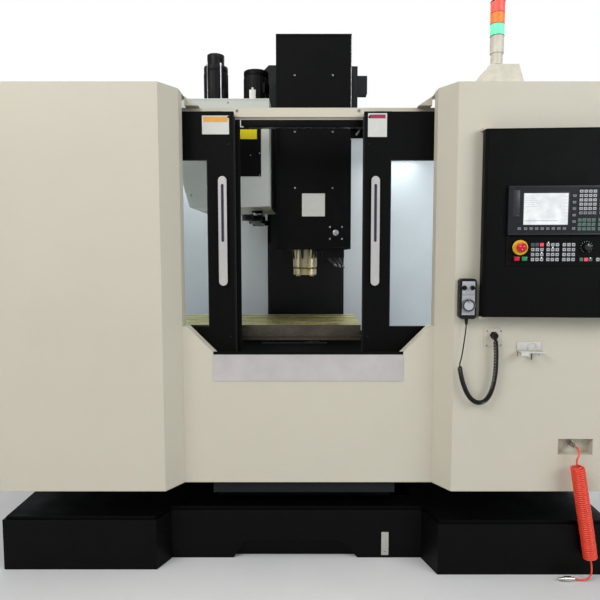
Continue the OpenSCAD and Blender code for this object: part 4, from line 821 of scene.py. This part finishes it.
# Cord gland: plate screws, nut, barrel and sealing rings
GLAND_X, GLAND_Z = 0.796, 1.056
CORD_END_Y = -1.031
screws("gland_screws", [front(x, -1.003, z) for x in (0.77, 0.83) for z in (1.011, 1.073)], 0.0036, 0.0022)
ring = lathe([(0.009, 0), (0.0096, 0.0005), (0.0096, 0.0013), (0.009, 0.0018)], 24)
nut = [(0.0112, 0), (0.0168, 0), (0.0176, 0.001), (0.0176, 0.007), (0.0168, 0.008), (0.0112, 0.008)]
piece("gland_nut",
      [(front(GLAND_X, -1.014, GLAND_Z), lathe(nut, 6))]
      + [(at(GLAND_X, CORD_END_Y, 1.0425 + k * 0.0023), ring) for k in range(6)]
      + [(front(GLAND_X, -1.02, GLAND_Z),
          lathe([(0.0112, 0), (0.0122, 0.0006), (0.0122, 0.0205), (0.01, 0.0228), (0, 0.0232)], 32)),
         (at(GLAND_X, CORD_END_Y, 1.0395),
          lathe([(0.0046, 0), (0.0092, 0), (0.0098, 0.0008), (0.0098, 0.0022), (0.009, 0.003)], 12))],
      "knob_black", smooth=30)

# Air gun's hook: white coat, a wire loop, and dark strips under it that are painted shadows
loop = frame_plate(capsule_outline(0.04, 0.0402), capsule_outline(0.032, 0.0322), 0, 0.003)
piece("hook_coat",
      [(front(0.953, -1.0032, 1.008), slab(0.104, 0.034, 0.001, 0.0004)),
       (front(0.953, -1.0522, 0.9875), slab(0.106, 0.005, 0.001, 0.0004)),
       (at(0.922, -1.026, 0.9892), slab(0.042, 0.05, 0.001, 0.0004)),
       (front(0.918, -1.0553, 0.9805), slab(0.034, 0.016, 0.001, 0.0004)),
       (front(0.966, -1.0042, 1.004), loop)],
      WHITE_FIELD, "light_paint", smooth=40)
# dark strips below and beside the hook: painted shadows of the hook on the panel
piece("hook_painted_shadow",
      [(front(0.9655, -1.0042, 0.967), slab(0.0048, 0.036, 0.0006, 0.0002, 1)),
       (front(0.905, -1.0003, 0.974), slab(0.0022, 0.022, 0.0004)),
       (front(0.999, -1.0003, 0.976), slab(0.0022, 0.02, 0.0004))],
      plastic("stain", (74, 70, 62), 0.5), "knob_black")

# Saddle guard's bright edge and a dark strip along the sill
piece("guard_edge",
      [(at(-0.073, -0.5326, 0.946), slab(0.334, 0.0012, 0.0028, 0.0004, 1)),
       (at(0.02, -0.5326, 0.9535), slab(0.07, 0.0012, 0.002, 0.0004, 1))], BOLT, "steel", "saddle_body")
piece("sill_strip", [(front(0, -0.9001, 0.9592), slab(0.856, 0.014, 0.0008, 0.0003, 1))], "black_paint")

# Air socket: sleeve and collars; the knurled coupling at the hose's end
SOCKET_X, SOCKET_Z = 1.163, 0.567
HOSE_END_Y, HOSE_END_Z = -1.090, 0.011
collar = lathe([(0.0072, 0), (0.0079, 0.0008), (0.0079, 0.0018), (0.0072, 0.003)], 24)
piece("air_socket_sleeve",
      [(front(SOCKET_X, -0.9795, SOCKET_Z),
        lathe([(0.0092, 0), (0.0112, 0.0012), (0.0112, 0.012), (0.01, 0.0136), (0.0092, 0.014)], 32))]
      + [(front(SOCKET_X, -1.006 - k * 0.0036, SOCKET_Z), collar) for k in range(4)],
      metal("socket_nickel", (158, 152, 138), 0.3, (3, 3, 3), 300.0), "socket_metal", smooth=40)
piece("hose_coupling",
      [(at(1.102, HOSE_END_Y, HOSE_END_Z) @ turn_y(90) @ turn_z(k * 22.5) @ at(0.0104, 0, 0.003),
        slab(0.0009, 0.0022, 0.024, 0.0003, 1)) for k in range(16)]
      + [(at(1.092, HOSE_END_Y, HOSE_END_Z) @ turn_y(-90),
          lathe([(0.0052, 0), (0.0052, 0.01), (0.006, 0.0112), (0.006, 0.015), (0.0042, 0.0158),
                 (0.0034, 0.013), (0.0034, 0)], 24))],
      "socket_metal", smooth=40)

# Left door's lip goes on up to the beam; a dark bracket with a bar hangs behind the lamp
piece("left_lip_top", [(at(-0.3255, -0.7775, 1.986), slab(0.0265, 0.003, 0.03, 0.0006, 1))],
      "black_paint", body="left_door_body", smooth=30)
piece("door_bracket",
      [(at(0.231, -0.698, 1.948), slab(0.064, 0.004, 0.074, 0.001)),
       (at(0.231, -0.699, 2.014), slab(0.064, 0.012, 0.006, 0.001))], "black_paint", smooth=30)
piece("door_bracket_bar",
      [(front(0.242, -0.7002, 1.986) @ turn_z(55), slab(0.052, 0.009, 0.002, 0.0007)),
       (front(0.228, -0.7022, 1.966), lathe([(0, 0.003), (0.005, 0.0026), (0.0056, 0)], 16))],
      *BRIGHT, smooth=30)


# Motors
def motor_dress(name, m, w, l, body, ribs=7):
    """Ribs, a cap, a socket and screws on a servo motor that stands along z from its flange."""
    pitch = (l - 0.065) / ribs
    side = (w - 0.014) / 2
    stub = lathe([(0.011, -0.004), (0.011, 0.016), (0.0085, 0.019), (0.0085, 0.03), (0, 0.03)], 20)
    rib = slab(w - 0.011, w - 0.011, pitch * 0.55, 0.004)
    piece(name,
          [(m @ at(0, 0, 0.02 + pitch * k), rib) for k in range(ribs)]
          + [(m @ at(0, 0, l - 0.0035), slab(w - 0.036, w - 0.036, 0.0035, 0.0012)),
             (m @ at(0, side, l - 0.06) @ turn_x(-90), slab(0.03, 0.026, 0.014, 0.004)),
             (m @ at(0, side + 0.012, l - 0.06) @ turn_x(-60), stub)],
          "motor_black", body=body, smooth=35)
    d = w / 2 - 0.012
    screws(name + "_screws", [m @ at(x * d, y * d, 0.014) for x in (-1, 1) for y in (-1, 1)],
           0.0055, 0.005, body=body)


motor_dress("x_motor_dress", at(0.63, -0.35, 0.87) @ turn_y(90), 0.118, 0.15, "saddle_body")
motor_dress("z_motor_dress", at(-0.02, 0.395, 2.49), 0.108, 0.139, "base")
motor_dress("y_motor_dress", at(-0.02, -0.65, 0.52) @ turn_x(90), 0.104, 0.11, "base", 4)

# the magazine's upright motors: fins, a cap with rings, a shoulder, a terminal box and bolts;
# each is (name, x, y, height of the shoulder, height of the top)
UPRIGHT_MOTORS = (("disc", -0.521, -0.15, 0.272, 0.338), ("arm", -0.285, -0.26, 0.212, 0.212))
MOTOR_FOOT_Z = 2.175
for name, x, y, shoulder, top in UPRIGHT_MOTORS:
    m = at(x, y, MOTOR_FOOT_Z)
    r = 0.047 if top > shoulder else 0.066
    rim = [(r - 0.008, 0.0012), (r - 0.002, 0.0012), (r + 0.0008, -0.003), (r + 0.0008, -0.028),
           (r - 0.001, -0.03)]
    fin = slab(0.005, 0.0032, shoulder - 0.052, 0.001, 1)
    parts = [(m @ turn_z(k * 15 + 7) @ at(0.0655, 0, 0.016), fin) for k in range(24)]
    parts.append((m @ at(0, 0, top), lathe(rim, 44)))
    for k in range(4):
        q = 0.012 + k * 0.007
        parts.append((m @ at(0, 0, top),
                      lathe([(q, 0), (q + 0.0006, 0.0016), (q + 0.0034, 0.0016), (q + 0.004, 0)], 36)))
    parts += [
        (m @ at(0, 0, shoulder),
         lathe([(0.05, -0.001), (0.0645, 0.0006), (0.0668, -0.003), (0.0668, -0.03), (0.0655, -0.032)], 44)),
        (m @ turn_z(-40) @ at(0.07, 0, 0.085), slab(0.024, 0.04, 0.056, 0.004)),
        (m @ turn_z(-40) @ at(0.072, 0, 0.07),
         lathe([(0.0085, 0.015), (0.0085, 0.003), (0.0065, 0), (0.0065, -0.02), (0, -0.02)], 18))]
    piece(name + "_motor_dress", parts, "motor_black", smooth=40)
    screws(name + "_motor_bolts", [m @ at(a * 0.057, b * 0.057, 0.012) for a in (-1, 1) for b in (-1, 1)],
           0.0065, 0.006)
piece("motor_conduits",
      [(at(x, y, 2.176),
        lathe([(r, 0), (r, 0.262), (r * 1.5, 0.264), (r * 1.5, 0.276), (r, 0.278), (0, 0.279)], 14))
       for x, y, r in ((-0.484, -0.214, 0.004), (-0.56, -0.208, 0.0028))], *BRIGHT, smooth=40)
piece("arm_motor_plug",
      [(at(-0.297, -0.342, MOTOR_FOOT_Z), slab(0.034, 0.016, 0.098, 0.003)),
       (at(-0.297, -0.342, 2.273), lathe([(0.006, 0), (0.006, 0.01), (0.004, 0.012), (0, 0.012)], 14))],
      WHITE_FIELD, "light_paint", smooth=40)

# Magazine: rims of the pots with a dark disc in each throat as painted shade, the disc's bolts, the cover's
# seams and bolts
DISC_Y, DISC_Z = -0.26, 1.91
pots = []
for k in range(16):
    m = at(-0.545, DISC_Y, DISC_Z) @ turn_x(k * 22.5) @ at(0, 0, 0.2) @ turn_y(-90)
    pots.append((m, lathe([(0.0312, -0.014), (0.0325, -0.012), (0.0325, 0.0004), (0.03, 0.0016),
                           (0.0235, 0.0016), (0.0235, 0.0004)], 28)))
    # a dark disc across the pot's bore: painted shade in the hole
    pots.append((m, lathe([(0.0235, 0.0006), (0, 0.0006)], 24), 1))
piece("pot_rims", pots, [plastic("pot_grey", (128, 130, 132), 0.42), RUBBER], "casting", "disc_body", 40)
screws("disc_bolts",
       [at(-0.44, DISC_Y, DISC_Z) @ turn_x(k * 45 + 11) @ at(0, 0, 0.1) @ turn_y(-90) for k in range(8)],
       0.008, 0.006, body="disc_body")
piece("magazine_seams",
      [(at(-0.414, MAGAZINE_FACE - 0.0008, 2.168), slab(0.43, 0.0018, 0.005, 0.0006)),
       (at(-0.2, MAGAZINE_FACE - 0.0008, 1.65), slab(0.005, 0.0018, 0.52, 0.0006))], "light_paint", smooth=30)
screws("magazine_bolts",
       [front(x, MAGAZINE_FACE, z) for x, z in ((-0.615, 2.155), (-0.4, 2.155), (-0.59, 1.7))], 0.0045, 0.003)

# Spindle's nose bolts, and jointed coolant nozzles at the manifold
piece("spindle_nose_bolts",
      [(at(-0.02, -0.26, 1.29) @ turn_z(k * 60) @ at(0.056, 0, 0.03) @ turn_x(180), hex_bolt(0.0048, 0.003))
       for k in range(6)], BOLT, "socket_metal", "spindle_body", 40)
link = lathe([(0.005, -0.002), (0.0082, 0.001), (0.0086, 0.005), (0.0072, 0.009), (0.0054, 0.012)], 20)
tip = lathe([(0.006, -0.002), (0.006, 0.004), (0.0032, 0.018), (0, 0.018)], 20)
parts = []
for x, y, lean in ((0.11, -0.3, -24), (0.14, -0.27, -16), (0.165, -0.305, -10)):
    m = at(x, y, 1.384) @ turn_y(180 + lean)
    for k in range(4):
        m = m @ turn_y(-5)
        parts.append((m @ at(0, 0, 0.012 * k), link))
    parts.append((m @ at(0, 0, 0.048), tip, 1))
piece("coolant_hoses", parts,
      [plastic("hose_links", (46, 48, 54), 0.25), plastic("nozzle_tip", (120, 124, 132), 0.35)],
      "nozzle_black", "head_body", 40)

# Tool arm: jaws, keys, a hub ring, bolts and a sensor
ARM_X, ARM_Y = -0.285, -0.26
JAW_Y = 0.265
ARM_UNDERSIDE_Z = 1.574
ARM_TOP_Z = 1.6018
parts = []
for s in (-1, 1):
    for a in (-28, 28):
        parts.append((at(ARM_X, ARM_Y + s * JAW_Y, ARM_UNDERSIDE_Z) @ turn_z(45 * s + a) @ at(0.04, 0, 0.028),
                      slab(0.02, 0.011, 0.006, 0.002)))
    parts.append((at(ARM_X, ARM_Y + s * JAW_Y, ARM_TOP_Z) @ turn_z(45 * s) @ at(-0.04, 0, 0),
                  slab(0.022, 0.014, 0.01, 0.002)))
    parts.append((at(ARM_X, ARM_Y + s * 0.15, ARM_TOP_Z), slab(0.03, 0.08, 0.012, 0.003)))
hub = [(0.032, 0), (0.042, 0), (0.044, 0.002), (0.044, 0.008), (0.042, 0.01), (0.03, 0.01)]
piece("arm_jaws", parts + [(at(ARM_X, ARM_Y, 1.608), lathe(hub, 40))], *BRIGHT, smooth=40)
screws("arm_bolts",
       [at(ARM_X + 0.038 * math.cos(a), ARM_Y + 0.038 * math.sin(a), ARM_UNDERSIDE_Z) @ turn_x(180)
        for a in (0.3, 1.35, 2.4, 3.44, 4.5, 5.54)], 0.005, 0.005)
piece("arm_sensor",
      [(at(-0.232, -0.42, 1.648), slab(0.04, 0.06, 0.036, 0.004)),
       (front(-0.232, -0.46, 1.655), lathe([(0, 0.03), (0.01, 0.03), (0.012, 0.026), (0.012, 0)], 20))],
      *BRIGHT, smooth=40)

# Rear side
REAR = 0.7000
DOOR_BACK = 1.1020
CONDUIT_XS = (0.120, 0.200, 0.280)
PUMP = (-0.900, 0.830)
TANK_LID = (-1.165, 0.790)

# louvres of the cabinet's door, a dark strip under each as painted shade in its opening, and latch screws
louvres = [(x, low + 0.02 * k) for x in (-0.33, 0.25) for low in (0.7, 1.79) for k in range(9)]
piece("cabinet_louvres",
      [(rear(x, DOOR_BACK - 0.0004, z), slab(0.17, 0.011, 0.0048, 0.002)) for x, z in louvres],
      "cream_paint", body="cabinet_door_body", smooth=40)
# a dark strip in each louvre's opening: painted shade
piece("cabinet_slot_shade", [field(rear(x, DOOR_BACK, z - 0.0072), 0.16, 0.003, t=0.0004) for x, z in louvres],
      [RUBBER], "cream_paint", "cabinet_door_body")
screws("latch_screws", [rear(0.415, DOOR_BACK + 0.002, z) for z in (1.238, 1.362)],
       0.005, 0.0024, body="cabinet_door_body")

# conduits from the cabinet's roof into the column, each with its nuts; not in the photograph
for k, x in enumerate(CONDUIT_XS):
    mm = x * 1000
    route = [[mm, 960, 2062], [mm, 962, 2110], [mm, 950, 2180 + 12 * k], [mm, 915, 2228 + 14 * k],
             [mm, 862, 2240 + 16 * k]]
    wire("cabinet_conduit_%d" % k, spline(route, 8), 0.02, RUBBER)
nut = lathe([(0.011, 0), (0.019, 0), (0.019, 0.01), (0.016, 0.012), (0.016, 0.02), (0.013, 0.024),
             (0.0106, 0.024)], 6)
piece("conduit_nuts",
      [(m, nut) for k, x in enumerate(CONDUIT_XS)
       for m in (at(x, 0.96, 2.0602), rear(x, 0.8602, 2.24 + 0.016 * k))],
      BOLT_BLACK, "knob_black")

# core-hole covers on the column's back and sides
COVER_X, COVER_Y, COVER_Z = -0.130, 0.600, 2.300
parts = [(rear(COVER_X, 0.86, 2.34), slab(0.3, 0.3, 0.006, 0.002))]
bolts = [rear(COVER_X + 0.26 * (i - 0.5), 0.866, 2.34 + 0.13 * (j - 1)) for i in range(2) for j in range(3)]
for x, turn in ((-0.32, -90), (0.28, 90)):
    parts.append((at(x, COVER_Y, COVER_Z) @ turn_y(turn), slab(0.26, 0.24, 0.006, 0.002)))
    outside = x + math.copysign(0.006, turn)
    bolts += [at(outside, COVER_Y + 0.2 * (j - 0.5), COVER_Z + 0.11 * (i - 1)) @ turn_y(turn)
              for i in range(3) for j in range(2)]
piece("column_covers", parts, "casting", smooth=40)
screws("column_cover_bolts", bolts, 0.007, 0.006)

# screwed service panels with louvres at the back of the enclosure, a dark strip under each louvre as painted
# shade in its opening
PANEL_W = 0.640
parts = []
bolts = []
slots = []
for x in (-0.96, 0.93):
    for z, h in ((1.56, 0.86), (0.8, 0.52)):
        parts.append((rear(x, REAR, z), slab(PANEL_W, h, 0.0022, 0.0014)))
        bolts += [rear(x + (PANEL_W - 0.05) * (i / 3 - 0.5), REAR + 0.0022, z + j * (h / 2 - 0.022))
                  for i in range(4) for j in (-1, 1)]
        for k in range(8):
            parts.append((rear(x, REAR + 0.0018, z - 0.07 + 0.022 * k), slab(0.24, 0.012, 0.006, 0.0024)))
            # a dark strip in the louvre's opening: painted shade
            slots.append(field(rear(x, REAR + 0.0022, z - 0.0778 + 0.022 * k), 0.228, 0.0034, t=0.0004))
piece("rear_panels", parts, "cream_paint", smooth=40)
screws("rear_panel_screws", bolts, 0.006, 0.0028)
piece("rear_panel_slot_shade", slots, [RUBBER], "cream_paint")

# coolant pump: fins, terminal box and fan cover
parts = [(at(*PUMP, 0.35) @ turn_z(k * 360 / 26) @ at(0.077, 0, 0), slab(0.009, 0.003, 0.16, 0.0008, 1))
         for k in range(26)]
parts.append((at(PUMP[0], PUMP[1] + 0.086, 0.43), slab(0.066, 0.046, 0.07, 0.004)))
for k in range(5):
    r, wide = 0.01 + 0.011 * k, 0.014 + 0.011 * k
    parts.append((at(*PUMP, 0.5596), lathe([(r, 0), (r, 0.003), (wide, 0.003), (wide, 0)], 40)))
piece("pump_fins", parts, *BRIGHT, smooth=40)

# the pump's hose and its clamps; not in the photograph
route = [[-786, 830, 300], [-745, 830, 302], [-706, 827, 335], [-692, 818, 420], [-690, 785, 505],
         [-690, 735, 548], [-690, 702, 552]]
wire("pump_hose", spline(route, 8), 0.03, RUBBER)
piece("pump_hose_clamps",
      [(rear(-0.69, REAR, 0.552),
        lathe([(0.0155, 0), (0.03, 0), (0.03, 0.006), (0.022, 0.008), (0.022, 0.022), (0.0155, 0.022)], 32)),
       (at(-0.788, PUMP[1], 0.3) @ turn_y(90),
        lathe([(0.015, 0), (0.02, 0), (0.02, 0.014), (0.015, 0.014)], 32))],
      BOLT, "socket_metal", smooth=40)

# lid of the tank with its handle
handle = frame_plate(capsule_outline(0.022, 0.11, 12), capsule_outline(0.01, 0.098, 12), 0, 0.012, 0.002)
piece("tank_lid", [(at(*TANK_LID, 0.24), slab(0.26, 0.2, 0.004, 0.0014)), (at(*TANK_LID, 0.244), handle)],
      "tank_black", smooth=40)
screws("tank_lid_screws",
       [at(TANK_LID[0] + 0.115 * i, TANK_LID[1] + 0.085 * j, 0.244) for i in (-1, 0, 1) for j in (-1, 1)],
       0.005, 0.003)

# Inside of the electrical cabinet: a zinc plate, breakers in the lowest row, drives above, ducts
PLATE_Y = 0.8755
UNIT_DEEP = 0.0806
UNIT_XS = [-0.325 + 0.190 * i for i in range(4)]
UNIT_ZS = [0.850 + 0.420 * j for j in range(3)]
DUCT_ZS = (0.665, 1.060, 1.480, 1.905)
DUCT_DEEP = 0.050
BODY, WHITE, TERMINAL, BLACK = range(4)
UNIT_BOX = slab(0.1316, 0.2616, UNIT_DEEP, 0.0012)
piece("cabinet_plate", [(rear(-0.02, PLATE_Y, 1.31), slab(0.836, 1.376, 0.001, 0.0004, 1))],
      metal("zinc", (186, 188, 186), 0.42, (1, 1, 8), 60.0, 0.12, 0.15, 0.7), "steel")
rim = lathe([(0, 0.0006), (0.004, 0.0006), (0.0046, 0)], 12)


def breakers(m):
    """Five breakers side by side on a white carrier, each with its lever and two terminals."""
    parts = [(m, UNIT_BOX, WHITE)]
    for k in range(5):
        q = m @ at(-0.0504 + 0.0252 * k, 0, UNIT_DEEP)
        parts += [(q, slab(0.0236, 0.18, 0.008, 0.0012), WHITE),
                  (q @ at(0, 0.008, 0.0078), slab(0.011, 0.018, 0.009, 0.0016), BLACK)]
        parts += [(q @ at(0, y, 0.0078), rim, BLACK) for y in (-0.074, 0.074)]
    return parts


def drive(m):
    """A drive with its cover, display field, terminals and vents, the vents dark strips painted as shade in
    their openings.
    """
    on_cover = UNIT_DEEP + 0.0046
    return ([(m, UNIT_BOX, BODY),
             (m @ at(0, 0, UNIT_DEEP), slab(0.122, 0.25, 0.005, 0.0016), BODY),
             (m @ at(-0.026, -0.082, on_cover), slab(0.056, 0.052, 0.001, 0.0004, 1), WHITE)]
            + [(m @ at(-0.028 + 0.056 * k, 0.106, on_cover), slab(0.048, 0.018, 0.011, 0.0014), TERMINAL)
               for k in range(2)]
            # the vents: dark strips of painted shade
            + [(m @ at(0.036, -0.096 + 0.022 * k, UNIT_DEEP + 0.0048), slab(0.03, 0.004, 0.0006), BLACK)
               for k in range(7)])


parts = []
for x in UNIT_XS:
    parts += breakers(rear(x, PLATE_Y, UNIT_ZS[0]))
    for z in UNIT_ZS[1:]:
        parts += drive(rear(x, PLATE_Y, z))
piece("cabinet_units", parts,
      [plastic("drive_grey", (52, 54, 58), 0.42), plastic("module_white", (206, 206, 200)),
       plastic("terminal_green", (46, 132, 84)), RUBBER], "steel")
piece("cabinet_ducts",
      [(rear(-0.04, PLATE_Y, z), slab(0.74, 0.044, DUCT_DEEP, 0.0016)) for z in DUCT_ZS]
      + [(rear(x, PLATE_Y, 1.285), slab(0.034, 1.28, DUCT_DEEP, 0.0016)) for x in (-0.424, 0.364)],
      plastic("duct_grey", (158, 162, 164), 0.45), "steel")
# dark fields in the ducts' slots: painted shade in the openings
piece("cabinet_duct_slot_shade",
      [field(rear(-0.4 + 0.02 * k, PLATE_Y + DUCT_DEEP, z + 0.012 * s), 0.005, 0.014, t=0.0004)
       for z in DUCT_ZS for k in range(37) for s in (-1, 1)], [RUBBER], "steel")

# a cable from each drive into the duct below it; not in the photograph
for i, x in enumerate(UNIT_XS):
    for j, z in enumerate(UNIT_ZS[1:]):
        left, low = 1000 * x, 1000 * (z - 0.190)
        route = [[left + 26, 966, 1000 * z - 112], [left + 27, 974, 1000 * z - 138],
                 [left + 20, 960, low + 22], [left + 12, 918, low]]
        wire("cabinet_cable_%d%d" % (i, j), spline(route, 6), 0.009, RUBBER)


# Floor, light and backdrop
bm = bmesh.new()
bmesh.ops.create_grid(bm, x_segments=24, y_segments=24, size=16.0)
floor_mesh = bpy.data.meshes.new("floor")
bm.to_mesh(floor_mesh)
bm.free()
floor = new_object("floor", floor_mesh)
m = Mat("floor")
floor_mesh.materials.append(m.finish(
    m.ramp(m.noise(1.2, 5.0), (0.3, lin(206, 207, 207)), (0.7, lin(216, 216, 215))),
    m.remap(m.noise(3.0, 4.0), 0.42, 0.6), m.bump(m.noise(60.0, 4.0), 0.08, 0.001)))
floor.location.z = -0.0005

# the world is a pale blue light, and plain white to the camera and through the glass
world = bpy.data.worlds.new("studio")
scene.world = world
world.use_nodes = True
wt = world.node_tree
light = wt.nodes["Background"]
light.inputs["Color"].default_value = (0.86, 0.90, 0.95, 1.0)
light.inputs["Strength"].default_value = 0.42
white = wt.nodes.new("ShaderNodeBackground")
white.inputs["Color"].default_value = (1, 1, 1, 1)
white.inputs["Strength"].default_value = 1.0
path = wt.nodes.new("ShaderNodeLightPath")
seen = wt.nodes.new("ShaderNodeMath")
seen.operation = "MAXIMUM"
mix = wt.nodes.new("ShaderNodeMixShader")
for output, target in ((path.outputs["Is Camera Ray"], seen.inputs[0]),
                       (path.outputs["Is Transmission Ray"], seen.inputs[1]),
                       (seen.outputs[0], mix.inputs["Fac"]), (light.outputs[0], mix.inputs[1]),
                       (white.outputs[0], mix.inputs[2]),
                       (mix.outputs[0], wt.nodes["World Output"].inputs["Surface"])):
    wt.links.new(output, target)


def area(name, loc, target, size, power, color=(1, 1, 1)):
    """A rectangular lamp at loc that shines at target."""
    d = bpy.data.lights.new(name, "AREA")
    d.shape = "RECTANGLE"
    d.size, d.size_y = size
    d.energy = power
    d.color = color
    o = new_object(name, d)
    o.location = loc
    o.rotation_euler = (Vector(target) - Vector(loc)).to_track_quat("-Z", "Y").to_euler()


NEUTRAL = (0.97, 0.99, 1.0)
area("key", (-3.2, -4.6, 4.6), (0, -0.6, 1.0), (3.0, 2.4), 170, (1.0, 0.97, 0.93))
area("fill", (3.8, -4.4, 3.2), (0, -0.5, 1.0), (3.0, 2.4), 110, (0.95, 0.98, 1.0))
area("top", (0, -0.6, 5.4), (0, -0.2, 1.0), (4.0, 3.0), 110)
area("rear", (2.5, 4.5, 3.6), (0, 0.4, 1.2), (3.0, 2.4), 70)
area("inside_left", (-0.74, -0.20, 1.98), (-0.74, -0.15, 1.0), (0.30, 0.9), 1.9, NEUTRAL)
area("inside_right", (0.56, -0.22, 1.98), (0.56, -0.17, 1.0), (0.28, 1.0), 3.0, NEUTRAL)
area("low_left", (-0.82, -0.62, 1.25), (-0.60, 0.3, 1.15), (0.24, 1.0), 1.4, NEUTRAL)
area("low_right", (0.78, -0.62, 1.25), (0.50, 0.3, 1.15), (0.28, 1.1), 2.7, NEUTRAL)
